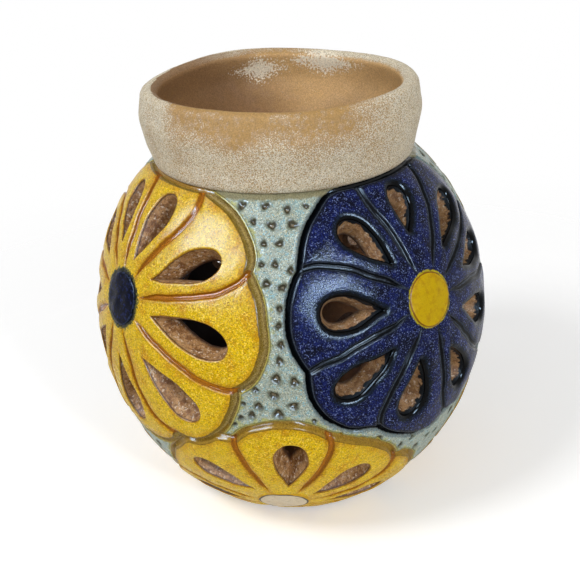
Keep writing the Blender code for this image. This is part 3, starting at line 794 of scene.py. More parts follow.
def pit_places(body, sizes):
    """Turn, rise, radius and two lobe turns of every pit: the front's as read, and round the rest staggered
    rows shifted by chance, left out where an outline, the collar or the foot is near."""
    draw = np.random.default_rng(PIT_SEED)
    step = PIT_ROWS * sizes.pit_spacing / body.radius
    rows = np.arange(math.asin(body.slab_bottom / body.drop), math.asin(body.slab_top / body.rise), step)
    counts = np.round(2.0 * math.pi * body.radius * np.cos(rows) / sizes.pit_spacing).astype(int)
    turns = np.concatenate([(np.arange(count) + 0.5 * (row % 2)) / count for row, count in enumerate(counts)])
    rises = np.repeat(rows, counts) + step * draw.uniform(-PIT_SHIFT, PIT_SHIFT, len(turns))
    sideways = step * draw.uniform(-PIT_SHIFT, PIT_SHIFT, len(turns)) / np.cos(rises)
    turns = (2.0 * math.pi * turns + sideways) % (2.0 * math.pi)
    rays = ground_rays(body, turns, rises)
    points = shell(body, rays, 0.0)
    level = points[:, 2] - body.centre
    from_outline, from_end = PIT_CLEARANCES
    free = outline_distances(body, points, rays, FLOWERS) > from_outline
    free &= (level < body.slab_top - from_end * MM) & (level > body.slab_bottom + from_end * MM)
    free &= (np.degrees(turns) > READ_SPAN[1]) & (np.degrees(turns) < 360.0 + READ_SPAN[0])
    read = np.array(FRONT_PITS)
    turns = np.append(turns[free], np.radians(read[:, 0]) % (2.0 * math.pi))
    rises = np.append(rises[free], np.radians(read[:, 1]))
    radii = sizes.pit_width / 2.0 * np.append(draw.uniform(*PIT_SIZES, free.sum()), read[:, 2])
    return np.column_stack((turns, rises, radii, draw.uniform(0.0, 2.0 * math.pi, (len(turns), 2))))


def pit_share(body, pits, turns, rises):
    """Distance to the nearest pit's centre over the pit's radius in that direction, which swings with three
    and two lobes. Turns are a row and rises a column."""
    least = np.full((len(rises), len(turns)), PIT_REACH)
    three, two = PIT_LOBES
    for turn, rise, radius, first, second in pits:
        across = (turns - turn + math.pi) % (2.0 * math.pi) - math.pi
        across = across * body.radius * math.cos(rise)
        up = (rises - rise) * body.radius
        near = np.ix_(np.abs(up) < PIT_REACH * radius, np.abs(across) < PIT_REACH * radius)
        up, across = up[near[0][:, 0]][:, None], across[near[1][0]][None, :]
        bearing = np.arctan2(up, across)
        lobed = 1.0 + three * np.cos(3.0 * (bearing + first)) + two * np.cos(2.0 * (bearing + second))
        least[near] = np.minimum(least[near], np.hypot(across, up) / (radius * lobed))
    return least


def ground_part(body, sizes, pits, start, end, spacing):
    """Grid of the ground between two azimuths. It sinks to the outlines, runs under the flowers' edges and is
    left out farther in; pits are pressed into it."""
    count = int(math.radians(end - start) * body.radius / spacing)
    turns = np.radians(np.linspace(start, end, count + 1))
    top = math.asin(body.wall_top / body.rise)
    bottom = math.asin((body.seat - GROUND_OVERLAP * MM) / body.drop)
    rises = np.linspace(top, bottom, int((top - bottom) * body.radius / spacing))
    rays = ground_rays(body, turns, rises[:, None])
    points = shell(body, rays, 0.0)
    yellow, blue = (
        outline_distances(body, points, rays, [flower for flower in FLOWERS if flower.glaze == glaze])
        for glaze in LIPS)
    outline = np.minimum(yellow, blue)
    pit = pit_share(body, pits, turns, rises)
    below_collar = (body.collar + body.centre - points[..., 2]) / MM
    outside = np.maximum(outline, 0.0)
    depth = GROUND_DEPTH + GROUND_CUT[0] * (1.0 - smooth(0.0, GROUND_CUT[1], outside))
    depth += UNDERCUT[0] * np.clip(-outline, 0.0, UNDERCUT[1])
    depth -= GROUND_RIDGE[0] * np.exp(-((outline - GROUND_RIDGE[1]) / GROUND_RIDGE[2]) ** 2)
    depth += (1.0 - smooth(*COLLAR_BAND[1:], below_collar)) * (COLLAR_BAND[0] - depth)
    depth += PIT_CUT[0] * (1.0 - smooth(*PIT_CUT[1:], pit))
    depth -= PIT_RIDGE[0] * np.exp(-((pit - PIT_RIDGE[1]) / PIT_RIDGE[2]) ** 2)
    depth += FOOT_BAND[0] * (1.0 - smooth(*FOOT_BAND[1:], points[..., 2] / MM))
    depth += sum(ripple(points, *values) for values in GROUND_RIPPLES)
    faces = quads(*points.shape[:2], False)
    kept = ((outline > -UNDERCUT[1]) | (below_collar < COLLAR_STRIP)).reshape(-1)[faces].any(axis=1)
    marks = {"pit": pit, "yellow_mm": yellow, "blue_mm": blue, "collar_mm": below_collar,
             "yellow_band_mm": np.where(yellow < YELLOW_BAND, below_collar, FAR),
             "low_mm": np.where(points[..., 2] < body.centre - LOW_STAINS * MM, yellow, FAR)}
    return Part(shell(body, rays, depth * MM), faces[kept][:, ::-1], marks)


# Materials


def paint(tone):
    """Socket value of a colour: an sRGB hex value, or linear red, green and blue."""
    return (*(linear(tone) if isinstance(tone, str) else tone), 1.0)


def fill(tree, made, values):
    """Set a node's inputs, or link them where the value is a socket or a node, whose first output is
    meant."""
    for key, value in values.items():
        if isinstance(value, bpy.types.Node):
            value = value.outputs[0]
        if isinstance(value, bpy.types.NodeSocket):
            tree.links.new(value, made.inputs[key])
        else:
            made.inputs[key].default_value = value


def node(tree, kind, values=None, **settings):
    """Add a node with its settings, values and links."""
    made = tree.nodes.new("ShaderNode" + kind)
    for field, value in settings.items():
        setattr(made, field, value)
    fill(tree, made, values or {})
    return made


def new_material(name):
    """Material, its tree and its shader."""
    made = bpy.data.materials.new(name)
    made.use_nodes = True
    return made, made.node_tree, made.node_tree.nodes["Principled BSDF"]


def clouds(tree, place, turn, size, **values):
    """Noise in clouds of a size in millimetres, with a turn as its fourth coordinate."""
    values = {"Vector": place, "W": turn, "Scale": 1.0 / (size * MM), "Detail": 2.0, **values}
    return node(tree, "TexNoise", values, **SOLID)


def mark_value(tree, mark):
    """Value that the mesh keeps under a mark."""
    return node(tree, "Attribute", attribute_name=mark).outputs["Fac"]


def laid_over(tree, share, under, colour, blend="MIX"):
    """A colour laid over another by a share."""
    return node(tree, "Mix", {0: share, 6: under, 7: colour}, data_type="RGBA", blend_type=blend).outputs[2]


def fired_colour(tree, place, base, tones, stains, mottle):
    """Colour of fired clay or glaze: the tones on the base, the stains on them, and the grit over it all."""
    colour = paint(base)
    first, step = TONE_CLOUDS
    for turn, (tone, size, low, high) in enumerate(tones):
        cloud = clouds(tree, place, first + step * turn, size, Detail=3.0, Roughness=0.6)
        share = node(tree, "MapRange", {"Value": cloud, "From Min": low, "From Max": high}, **SOFT)
        colour = laid_over(tree, share, colour, paint(tone))
    first, step = STAIN_CLOUDS
    for turn, (mark, near, far, ragged, size, tone, strength) in enumerate(stains):
        value = mark_value(tree, mark)
        cloud = clouds(tree, place, first + step * turn, size)
        torn = node(tree, "Math", {0: cloud, 1: ragged, 2: value}, operation="MULTIPLY_ADD")
        share = node(tree, "MapRange", {"Value": torn, "From Min": near + ragged / 2.0, "To Min": strength,
                                        "From Max": far + ragged / 2.0, "To Max": 0.0}, **SOFT)
        colour = laid_over(tree, share, colour, paint(tone))
    cloud = clouds(tree, place, GRIT_CLOUD, GRIT_SIZE)
    grit = node(tree, "MapRange", {"Value": cloud, "To Min": 1.0 - mottle, "To Max": 1.0 + mottle,
                                   **NOISE_SPAN})
    return laid_over(tree, 1.0, colour, grit, "MULTIPLY")


def dryness(tree, pools):
    """0 where the glaze has run together smooth, and 1 elsewhere."""
    dry = 1.0
    for mark, near, far in pools:
        value = mark_value(tree, mark)
        away = node(tree, "MapRange", {"Value": value, "From Min": near, "From Max": far}, **SOFT)
        dry = node(tree, "Math", {0: away, 1: dry}, operation="MULTIPLY")
    return dry


def grain_height(tree, place, grains):
    """Sum of the grains' noises, each times its height."""
    height = 0.0
    first, step = GRAIN_CLOUDS
    for turn, (size, rise) in enumerate(grains):
        cloud = clouds(tree, place, first + step * turn, size)
        height = node(tree, "Math", {0: cloud, 1: rise, 2: height}, operation="MULTIPLY_ADD")
    return height


def fired_surface(name, base, tones, stains, mottle, grains, roughness, specular, pools=()):
    """Material of fired clay or glaze. Tones are laid over the base in clouds of a size in millimetres,
    where the cloud rises from low to high. Stains follow a value of the mesh in millimetres and fade out
    between near and far, with an edge as ragged as is given. Mottle is the share by which fine grit
    lightens and darkens it all. Grains are bumps of a size and a height in millimetres. Pools are where the
    glaze has run together smooth, within near of a value and no farther than far."""
    made, tree, shader = new_material(name)
    place = node(tree, "TexCoord").outputs["Object"]
    colour = fired_colour(tree, place, base, tones, stains, mottle)
    dry = dryness(tree, pools)
    height = grain_height(tree, place, grains)
    strength = node(tree, "MapRange", {"Value": dry, "To Min": POOL_BUMPS, "To Max": 1.0})
    bump = node(tree, "Bump", {"Strength": strength, "Height": height, "Distance": MM})
    cloud = node(tree, "TexNoise", {"Vector": place, "Scale": 1.0 / (GLOSS_SIZE * MM), "Detail": 3.0})
    least, most = roughness
    gloss = node(tree, "MapRange", {"Value": cloud, "To Min": least, "To Max": most, **NOISE_SPAN})
    gloss = node(tree, "MapRange", {"Value": dry, "To Min": POOL_ROUGHNESS, "To Max": gloss})
    fill(tree, shader, {"Base Color": colour, "Normal": bump, "Roughness": gloss,
                        "Specular IOR Level": specular})
    return made


def yellow_glaze(colours):
    """Yellow lead-type glaze brushed on bisque clay: lemon where thick, amber where thin, brown in the
    cuts."""
    return fired_surface(
        "yellow_brushed_glaze", colours.lemon,
        (("#C48E04", 6.0, 0.48, 0.70), ("#A87404", 0.6, 0.52, 0.66),
         ("#EED050", 0.55, 0.52, 0.64)),
        (("groove_mm", 1.2, 3.4, 3.0, 3.0, colours.amber, 0.6),
         ("outline_mm", 1.5, 5.0, 5.0, 4.0, colours.amber, 0.5),
         ("outline_mm", 1.65, 2.05, 0.6, 1.2, "#5A4410", 0.9),
         ("outline_mm", 1.20, 1.60, 1.0, 0.8, "#86702C", 0.9),
         ("outline_mm", 0.1, 1.0, 4.0, 0.5, "#B09A60", 0.8),
         ("low_mm", 1.3, 1.9, 1.5, 1.0, "#9E7A22", 0.75),
         ("groove_mm", 1.05, 1.45, 0.8, 1.2, "#8A4C08", 0.85),
         ("groove_mm", 0.30, 0.70, 0.8, 1.0, "#AA6A10", 0.9),
         ("window_mm", 0.15, 0.60, 0.7, 1.0, "#8A5418", 0.8),
         ("drip_mm", 0.7, 1.1, 4.0, 1.0, "#2E4A20", 0.8),
         ("drip_mm", 0.2, 0.6, 4.0, 1.0, "#0E140E", 0.95)),
        0.32, ((0.5, 0.080), (1.6, 0.08)), (0.24, 0.38), 0.10,
        (("groove_mm", 0.9, 1.4), ("outline_mm", 1.0, 1.7)))


def cobalt_glaze(colours):
    """Cobalt glaze, gloss fired: deep blue with fine paler speckle, black where it pools in the cuts, and
    pale grey along their edges and the grooves' beads, partly where the glaze breaks over them and partly
    painted highlight."""
    # The pale grey is partly the glaze breaking over the cuts' edges and partly painted highlight along them
    # and along the grooves' beads
    pooled, breaking_and_highlight = "#0A0F1C", "#3A424E"
    return fired_surface(
        "cobalt_gloss_glaze", colours.cobalt,
        (("#060A20", 5.0, 0.42, 0.62), ("#060A1E", 0.6, 0.48, 0.60),
         ("#6C7CB4", 0.45, 0.550, 0.66)),
        (("groove_mm", 1.2, 2.8, 1.5, 1.5, pooled, 0.8),
         ("outline_mm", 1.7, 2.8, 1.2, 1.5, pooled, 0.85),
         ("window_mm", 1.6, 3.0, 1.5, 1.5, "#0C161C", 0.85),
         # Pale line along a groove's edge: partly glaze breaking, partly painted highlight
         ("groove_mm", 1.35, 1.60, 0.9, 1.5, breaking_and_highlight, 0.6),
         ("groove_mm", 1.0, 1.3, 0.6, 1.5, colours.ink, 0.95),
         # Pale line on a groove's bead: partly glaze breaking, partly painted highlight
         ("groove_mm", 0.15, 0.45, 0.8, 1.2, breaking_and_highlight, 0.9),
         # Pale line along the outline's edge: partly glaze breaking, partly painted highlight
         ("outline_mm", 1.35, 1.60, 0.9, 1.5, breaking_and_highlight, 0.7),
         ("outline_mm", 0.95, 1.20, 0.4, 1.5, "#0E131B", 0.95),
         ("outline_mm", 0.3, 0.8, 0.6, 1.5, colours.ink, 1.0),
         ("window_mm", 0.8, 1.4, 2.4, 1.4, colours.ink, 1.0),
         ("core_mm", -0.5, 0.1, 1.5, 1.6, "#B8A822", 0.95)),
        0.46, ((0.5, 0.115), (1.6, 0.08)), (0.08, 0.20), 0.075,
        (("groove_mm", 1.0, 1.6), ("outline_mm", 1.1, 1.7), ("window_mm", 0.6, 1.4)))


def turquoise_glaze(colours):
    """Thin turquoise glaze over clay: mottled and pale, dark in the pits, stained beside the flowers."""
    return fired_surface(
        "turquoise_thin_glaze", colours.turquoise,
        (("#88A8AC", 3.0, 0.50, 0.70), ("#6EB4CA", 0.55, 0.55, 0.65),
         ("#C6BC8E", 0.6, 0.57, 0.67), ("#586860", 0.5, 0.53, 0.65),
         ("#D4DCCF", 0.5, 0.54, 0.65)),
        (("yellow_mm", 1.6, 3.2, 8.0, 1.8, "#A9A850", 0.7),
         ("blue_mm", 1.5, 2.1, 2.0, 1.5, "#566670", 0.6),
         ("pit", 0.95, 1.50, 0.8, 0.9, "#6C725E", 0.75),
         ("pit", 0.60, 1.05, 0.9, 0.9, "#423C2C", 0.95),
         ("pit", 0.10, 0.45, 0.7, 0.6, "#948468", 0.65),
         ("collar_mm", 1.8, 2.6, 1.2, 2.0, "#868060", 0.9),
         ("yellow_mm", 2.05, 2.35, 0.5, 1.3, "#5C5626", 0.75),
         # Pale yellow-green line on the ridge beside a yellow outline: partly glaze colour, partly painted
         # highlight
         ("yellow_mm", 1.65, 1.95, 0.5, 1.3, "#B3A650", 0.85),
         ("yellow_mm", 1.25, 1.55, 0.5, 1.0, "#6A5620", 1.0),
         ("yellow_mm", 0.3, 1.5, 4.5, 0.5, "#AC9862", 0.8),
         ("low_mm", 1.0, 1.5, 1.5, 1.0, "#A58228", 0.7),
         ("blue_mm", 0.7, 1.1, 0.6, 1.3, colours.ink, 1.0),
         ("yellow_band_mm", 1.5, 2.9, 1.2, 1.5, "#9A7426", 1.0)),
        0.26, ((0.6, 0.06), (1.8, 0.09)), (0.26, 0.46), 0.15,
        (("yellow_mm", 1.4, 2.1), ("blue_mm", 1.0, 1.6), ("collar_mm", 2.2, 3.2), ("pit", 0.4, 0.8)))


def cut_clay(colours):
    """Bare earthenware cut with a knife and fired: warm brown, matt, gritty, stained dark at the glazed
    edge. In the blue flowers' windows it is greyed, and cobalt glaze has run over their edge."""
    return fired_surface(
        "knife_cut_earthenware", "#BA8F5C",
        (("#86592C", 2.5, 0.42, 0.62), ("#E2D0B6", 1.1, 0.54, 0.67),
         ("#664526", 0.6, 0.54, 0.68)),
        (("inwards_mm", 0.1, 0.7, 0.6, 1.2, "#3A2412", 0.9),
         ("inner_mm", 0.5, 2.4, 1.0, 1.6, "#4A2E18", 0.9),
         ("ink_mm", 20.0, 30.0, 1.0, 2.0, "#8A7560", 0.3),
         ("ink_mm", 1.0, 1.8, 5.0, 2.2, colours.ink, 1.0)),
        0.20, ((0.5, 0.22), (1.5, 0.28)), (0.45, 0.70), 0.14)


def thrown_clay(colours):
    """Bare earthenware inside the vase, wiped smooth and fired: tan at the neck, with painted shade that
    makes it darker farther down and darkest left of the axis."""
    return fired_surface(
        "wiped_earthenware", "#7A5432",
        (("#8A5F3A", 9.0, 0.42, 0.62), ("#5E3C20", 1.6, 0.58, 0.78)),
        # Painted shade: dark left of the axis
        (("painted_shade_mm", -30.0, 6.0, 30.0, 20.0, "#1C1008", 1.0),
         # Painted shade: lifted again towards the neck, so that the inside is darker farther down
         ("below_neck_mm", 4.0, 26.0, 8.0, 9.0, "#7A5430", 1.0),
         ("below_neck_mm", -2.0, 9.0, 5.0, 5.0, colours.clay, 0.9)),
        0.12, ((0.5, 0.10), (2.5, 0.18)), (0.62, 0.80), 0.15)


def slipped_clay(colours):
    """White slip brushed dry over tan clay: sandy all over, and worn through to bare clay towards the lip."""
    return fired_surface(
        "slip_brushed_earthenware", colours.slip,
        (("#DAD2BE", 4.0, 0.45, 0.62), ("#9A8050", 0.34, 0.50, 0.62),
         ("#EAE3D2", 0.34, 0.54, 0.64)),
        (("slipped", 0.35, 0.95, 5.5, 0.4, colours.clay, 0.9),
         ("slipped", -0.15, 0.30, 2.0, 1.6, "#B08A4E", 0.88),
         ("inside_mm", -1.0, 0.2, 1.5, 2.0, "#C9A066", 0.95),
         ("slipped", -1.7, -1.1, 6.0, 0.45, "#DCCBA8", 0.8),
         # Painted shade: darker on the left of the collar's inside, reaching farther round lower down
         ("painted_shade_mm", 4.0, 40.0, 12.0, 14.0, "#84603A", 0.9),
         # Painted highlight: near-white patches inside the collar that stand for glare
         ("painted_glare", 0.35, 0.75, 2.4, 0.7, "#F0E6D0", 0.9)),
        0.19, ((0.45, 0.20), (1.4, 0.16)), (0.62, 0.84), 0.1)


def button_glazes(colours):
    """Glazes of the flowers' buttons, each with a darker line near its edge."""
    yellow = fired_surface(
        "yellow_button_glaze", "#C6A402",
        (("#B58C04", 3.0, 0.45, 0.65), ("#D2B418", 0.8, 0.56, 0.76)),
        (("from_edge_mm", 1.10, 1.35, 0.25, 2.0, "#7C4E08", 0.95),
         ("from_edge_mm", 0.60, 0.85, 0.40, 1.5, "#C4B020", 0.95)),
        0.06, ((0.6, 0.05), (1.6, 0.06)), (0.30, 0.44), 0.07)
    navy = fired_surface(
        "navy_button_glaze", colours.navy,
        (("#1A2450", 1.4, 0.50, 0.66),),
        (("from_edge_mm", 1.1, 1.5, 1.2, 1.4, "#323C54", 0.6),
         ("from_edge_mm", 0.6, 1.0, 2.4, 1.2, "#060A08", 1.0)),
        0.20, ((0.7, 0.06), (1.6, 0.10)), (0.12, 0.26), 0.03)
    cream = fired_surface(
        "cream_button_glaze", colours.cream,
        (("#B9A88A", 1.6, 0.50, 0.70),),
        (("from_edge_mm", 1.9, 2.15, 0.4, 2.0, "#1E160C", 1.0),
         ("from_edge_mm", 1.25, 1.5, 0.4, 2.0, "#C89A06", 1.0)),
        0.06, ((0.6, 0.10), (1.6, 0.12)), (0.34, 0.50), 0.2)
    return {"yellow_glaze": yellow, "navy_glaze": navy, "cream_glaze": cream}


# Turned pieces and buttons


def inside_part(body):
    """Inside of the wall: the inner ellipse from the floor up, bent into the neck's bore, less the faces
    behind the windows."""
    radius, rise, drop = (size - body.back for size in (body.radius, body.rise, body.drop))
    last = math.asin(math.sqrt(1.0 - (body.bore / radius) ** 2))
    rises = np.linspace(math.asin(body.floor / drop), last, INSIDE_GRID[0])
    arc = np.column_stack((radius * np.cos(rises), np.where(rises > 0.0, rise, drop) * np.sin(rises)))
    levels = np.linspace(arc[-1, 1], body.collar, BORE_ROWS + 1)[1:]
    bore = np.column_stack((np.full(BORE_ROWS, body.bore), levels))
    points, faces = turned_part(np.vstack((arc, bore)) + np.array((0.0, body.centre)), INSIDE_GRID[1])
    rays = unit(points - np.array((0.0, 0.0, body.centre)))
    behind = np.zeros(rays.shape[:2], bool)
    for flower in FLOWERS:
        places = to_places(flower, rays)
        for petal in flower.petals:
            if window_open(body, flower, petal):
                behind |= within_tear(petal, places, *(np.array(HOLE_TAPER) / DEGREE))
    kept = ~behind.reshape(-1)[faces].all(axis=1)
    return Part(points, faces[kept][:, ::-1], bare_marks(body, points))


def bare_marks(body, points):
    """Marks of the clay inside: millimetres down from the collar and to the right of the axis."""
    return {"below_neck_mm": (body.collar + body.centre - points[..., 2]) / MM,
            "painted_shade_mm": points[..., 0] / MM}


def floor_part(body, sizes):
    """Floor slab: its edge carries the ground's curve down to the foot."""
    width, height = FOOT_BEVEL[0] * MM, FOOT_BEVEL[1] * MM
    foot, under = sizes.foot_radius, -body.centre
    levels = np.linspace(body.seat, under + width, FLOOR_GRID[0])
    edge = radius_at(body, levels, sizes.relief_height)
    inner = float(radius_at(body, body.floor, body.back))
    top = [(0.0, body.floor), (inner * 0.5, body.floor), (inner, body.floor), (inner, body.seat)]
    end = [(foot, under + height), (foot - width, under), (foot * 0.5, under), (0.0, under)]
    profile = np.array(top + list(zip(edge, levels)) + end) + np.array((0.0, body.centre))
    points, faces = turned_part(profile, FLOOR_GRID[1])
    return Part(points, faces[:, ::-1], bare_marks(body, points))


def knots_from(radius, level, places):
    """Knots these millimetres out and up from a radius and a level."""
    return [(radius + out * MM, level + up * MM) for out, up in places]


def collar_profile(body, sizes, radius):
    """Section of the collar: from the bore out along its foot, up the outside, over the lip, a half round
    about this radius, and down the inside."""
    bore, base, low, half = body.bore, body.collar_base, body.collar, sizes.collar_wall / 2.0
    belly, level = base + COLLAR_BELLY_FLARE, low + COLLAR_BELLY_LEVEL
    middle = low + sizes.collar_height - half
    lip = [(radius + half * math.cos(turn), middle + half * LIP_FLATNESS * math.sin(turn))
           for turn in np.linspace(0.0, math.pi, LIP_POINTS)]
    knots = [*knots_from(bore, low, COLLAR_START), *knots_from(base, low, COLLAR_FOOT),
             (base + COLLAR_SHOULDER_FLARE, low + COLLAR_SHOULDER_LEVEL),
             *knots_from(belly, level, COLLAR_BELLY), *lip,
             (belly - sizes.collar_wall, level), *knots_from(bore, low, COLLAR_END)]
    return bend(knots, COLLAR_GRID[0]) + np.array((0.0, body.centre))


def collar_marks(sizes, points, height, radius):
    """Marks of the collar. Slipped is 1 less how far the slip has worn off: towards the lip at the front,
    over the lip there and at the back, and down the inside, less so at the sides, with an uneven edge.
    Painted glare is half the sum of how far a point is from a patch of painted highlight across and up, each
    over the patch's half size, for the nearest patch. The mark of the inside and that of the painted shade
    fall with the millimetres down from the lip."""
    turn = np.degrees(np.arctan2(points[..., 0], -points[..., 1]))
    front = 1.0 - smooth(*WORN_FRONT, np.abs(turn - WORN_MIDDLES[0] + ripple(points, *SLIP_EDGE)))
    back = 1.0 - smooth(*WORN_BACK, np.abs((turn - WORN_MIDDLES[1]) % 360.0 - 180.0))
    within = (radius - np.hypot(points[..., 0], points[..., 1])) / MM
    inside = within > 0.0
    sunk = np.where(inside, (1.0 - height) * sizes.collar_height / MM, 0.0)
    worn = smooth(*WORN_HEIGHT, height) * front + smooth(*WORN_INSIDE, sunk)
    worn += smooth(*WORN_LIP, within) * (front + back)
    worn += sum(ripple(points, *values) for values in SLIP_RIPPLES)
    worn -= WORN_SIDES[2] * smooth(*WORN_SIDES[:2], np.abs(turn))
    painted_glare = np.minimum(*[
        np.abs((turn - middle + 180.0) % 360.0 - 180.0) / width + np.abs(height - share) / PAINTED_GLARE_HEIGHT
        for middle, width, share in PAINTED_GLARE_PATCHES])
    return {"slipped": 1.0 - np.minimum(worn, MOST_WORN), "inside_mm": LIP_EDGE - sunk,
            "painted_glare": np.where(inside, 0.5 * painted_glare, FAR),
            "painted_shade_mm": np.where(inside, PAINTED_SHADE_START[0] + points[..., 0] / MM - PAINTED_SHADE_START[1] * sunk, FAR)}


def collar_part(body, sizes):
    """Collar: its section carried round the axis, then shifted outwards and up by ripples."""
    radius = body.collar_base + COLLAR_LIP_FLARE - sizes.collar_wall / 2.0
    points, faces = turned_part(collar_profile(body, sizes, radius), COLLAR_GRID[1])
    height = (points[..., 2] - body.centre - body.collar) / sizes.collar_height
    flattened = points * np.array((1.0, 1.0, SWAY_UPWARDS))
    sway = ripple(flattened, *COLLAR_SWAY[0]) + ripple(points, *COLLAR_SWAY[1])
    outwards = unit(points * np.array((1.0, 1.0, 0.0)))
    points = points + outwards * smooth(*WALL_FREE, height)[..., None] * MM * sway[..., None]
    flattened = points * np.array((1.0, 1.0, 0.0))
    sway = ripple(flattened, *LIP_SWAY[0]) + ripple(points, *LIP_SWAY[1])
    points[..., 2] += MM * smooth(*LIP_FREE, height) * sway
    return Part(points, faces, collar_marks(sizes, points, height, radius))


def button_part(body, flower):
    """Button: a domed disc whose depth grows with the square of the spread and rounds off at the edge."""
    edge = BUTTON_SPREAD * (1.0 + BUTTON_LOBES * np.sin(np.radians(3.0 * BUTTON_BEARINGS + flower.azimuth)))
    rays = to_rays(flower, flat(BUTTON_BEARINGS, BUTTON_ROWS * edge))
    share = np.broadcast_to(BUTTON_ROWS, rays.shape[:2])
    middle, dome, rounding, skirt = BUTTON_DEPTHS
    depth = middle + dome * share ** 2 + rounding * smooth(*BUTTON_ROUNDING, share) ** 2
    depth[0] += skirt
    depth = depth + ripple(shell(body, rays, 0.0), *BUTTON_RIPPLE)
    marks = {"from_edge_mm": (1.0 - share) * BUTTON_SPREAD * flower.scale * DEGREE}
    return Part(shell(body, rays, depth * MM), quads(*depth.shape, True), marks)


# Operators


class VaseGround(bpy.types.Operator):
    """Make the pitted ground of the body wall between the flowers."""
    bl_idname = "vase.ground"
    bl_label = "Ground"

    def execute(self, context):
        """The front half on a fine grid and the back half on a coarser one."""
        sizes, glaze = context.scene.vase_sizes, turquoise_glaze(context.scene.vase_colours)
        body = form(sizes)
        pits = pit_places(body, sizes)
        for side, start, end, spacing, replaced in GROUND_HALVES:
            part = ground_part(body, sizes, pits, start, end, spacing * MM)
            add_piece("ground_" + side, [part], "turquoise_glaze", glaze, replaced)
        return {"FINISHED"}


class VaseInside(bpy.types.Operator):
    """Make the inside of the body wall, with holes behind the windows."""
    bl_idname = "vase.inside"
    bl_label = "Inside"

    def execute(self, context):
        """One turned piece of bare clay."""
        clay = thrown_clay(context.scene.vase_colours)
        add_piece("vessel_inside", [inside_part(form(context.scene.vase_sizes))], "raw_clay", clay)
        return {"FINISHED"}


class VaseFloor(bpy.types.Operator):
    """Make the floor slab and the foot."""
    bl_idname = "vase.floor"
    bl_label = "Floor"

    def execute(self, context):
        """One turned piece of bare clay, with the same painted shade as the inside."""
        sizes, clay = context.scene.vase_sizes, thrown_clay(context.scene.vase_colours)
        add_piece("floor_slab", [floor_part(form(sizes), sizes)], "raw_clay", clay, ("floor_disc",))
        return {"FINISHED"}


class VaseCollar(bpy.types.Operator):
    """Make the collar, uneven as a hand shapes it, with slip brushed over it."""
    bl_idname = "vase.collar"
    bl_label = "Collar"

    def execute(self, context):
        """One turned piece of slipped clay."""
        sizes, clay = context.scene.vase_sizes, slipped_clay(context.scene.vase_colours)
        add_piece("collar", [collar_part(form(sizes), sizes)], "slipped_clay", clay, ("neck_collar",))
        return {"FINISHED"}


class VaseFlowers(bpy.types.Operator):
    """Make the flowers' glazed faces and the clay walls of their windows."""
    bl_idname = "vase.flowers"
    bl_label = "Flowers"

    def execute(self, context):
        """Petal by petal, each a grid between its rim and its window."""
        body, colours = form(context.scene.vase_sizes), context.scene.vase_colours
        glazes = {"yellow_glaze": yellow_glaze(colours), "cobalt_glaze": cobalt_glaze(colours)}
        clay = cut_clay(colours)
        for flower in FLOWERS:
            name, glaze = flower.name, flower.glaze
            lines = carved_lines(body, flower)
            parts = [petal_parts(body, flower, lines, index) for index in range(len(flower.petals))]
            faces, walls = zip(*parts)
            add_piece("petals_" + name, faces, glaze, glazes[glaze], ("flower_" + name,))
            add_piece("windows_" + name, [wall for wall in walls if wall], "raw_clay", clay)
        return {"FINISHED"}


class VaseButtons(bpy.types.Operator):
    """Make the round buttons at the flowers' centres."""
    bl_idname = "vase.buttons"
    bl_label = "Buttons"

    def execute(self, context):
        """One domed disc to a flower."""
        body, glazes = form(context.scene.vase_sizes), button_glazes(context.scene.vase_colours)
        for flower in FLOWERS:
            name, glaze = flower.name, flower.button_glaze
            add_piece("disc_" + name, [button_part(body, flower)], glaze, glazes[glaze], ("button_" + name,))
        return {"FINISHED"}


class VaseStage(bpy.types.Operator):
    """Make the floor, the lamps, the surroundings and the camera."""
    bl_idname = "vase.stage"
    bl_label = "Stage"

    def execute(self, context):
        """A white floor, two soft lamps, two panels that the glaze mirrors, white surroundings, and a
        camera in front of the vase and a little above it."""
        scene = context.scene
        scene.view_settings.view_transform = "Standard"
        body = form(scene.vase_sizes)
        add_floor(scene)
        add_lamps(scene, body)
        add_surroundings(scene)
        add_camera(scene, body)
        return {"FINISHED"}


def add_floor(scene):
    """White floor that takes the vase's shadow and thins out into the white surroundings. A little glow,
    for the camera alone, makes its lit part plain white."""
    mesh = bpy.data.meshes.new("floor")
    corners = [(x * FLOOR_REACH, y * FLOOR_REACH, 0.0) for x, y in ((-1, -1), (1, -1), (1, 1), (-1, 1))]
    mesh.from_pydata(corners, [], [(0, 1, 2, 3)])
    paper, tree, shader = new_material("white_paper")
    place = node(tree, "TexCoord").outputs["Object"]
    away = node(tree, "VectorMath", {0: place}, operation="LENGTH").outputs["Value"]
    solid = node(tree, "MapRange", {"Value": away, "From Min": FLOOR_FADE[0], "From Max": FLOOR_FADE[1],
                                    "To Min": 1.0, "To Max": 0.0}, **SOFT)
    seen = node(tree, "LightPath").outputs["Is Camera Ray"]
    glow = node(tree, "Math", {0: seen, 1: FLOOR_GLOW}, operation="MULTIPLY")
    fill(tree, shader, {"Base Color": paint(FLOOR_PAINT), "Roughness": FLOOR_ROUGHNESS, "Alpha": solid,
                        "Specular IOR Level": 0.0, "Emission Color": paint(WHITE), "Emission Strength": glow})
    mesh.materials.append(paper)
    floor = bpy.data.objects.new("floor", mesh)
    scene.collection.objects.link(floor)


def add_lamps(scene, body):
    """Soft lamps, each aimed at the body's centre. A panel is seen in the glaze and casts no light."""
    for name, (azimuth, elevation, distance, width, height, power) in LAMPS.items():
        lamp = bpy.data.lights.new(name, "AREA")
        lamp.shape, lamp.size, lamp.size_y, lamp.energy = "ELLIPSE", width, height, power
        thing = bpy.data.objects.new(name, lamp)
        thing.matrix_world = looking(*facing(azimuth, elevation), distance, body)
        if "panel" in name:
            thing.visible_diffuse = False
            lamp.color = PANEL_COLOUR
        scene.collection.objects.link(thing)


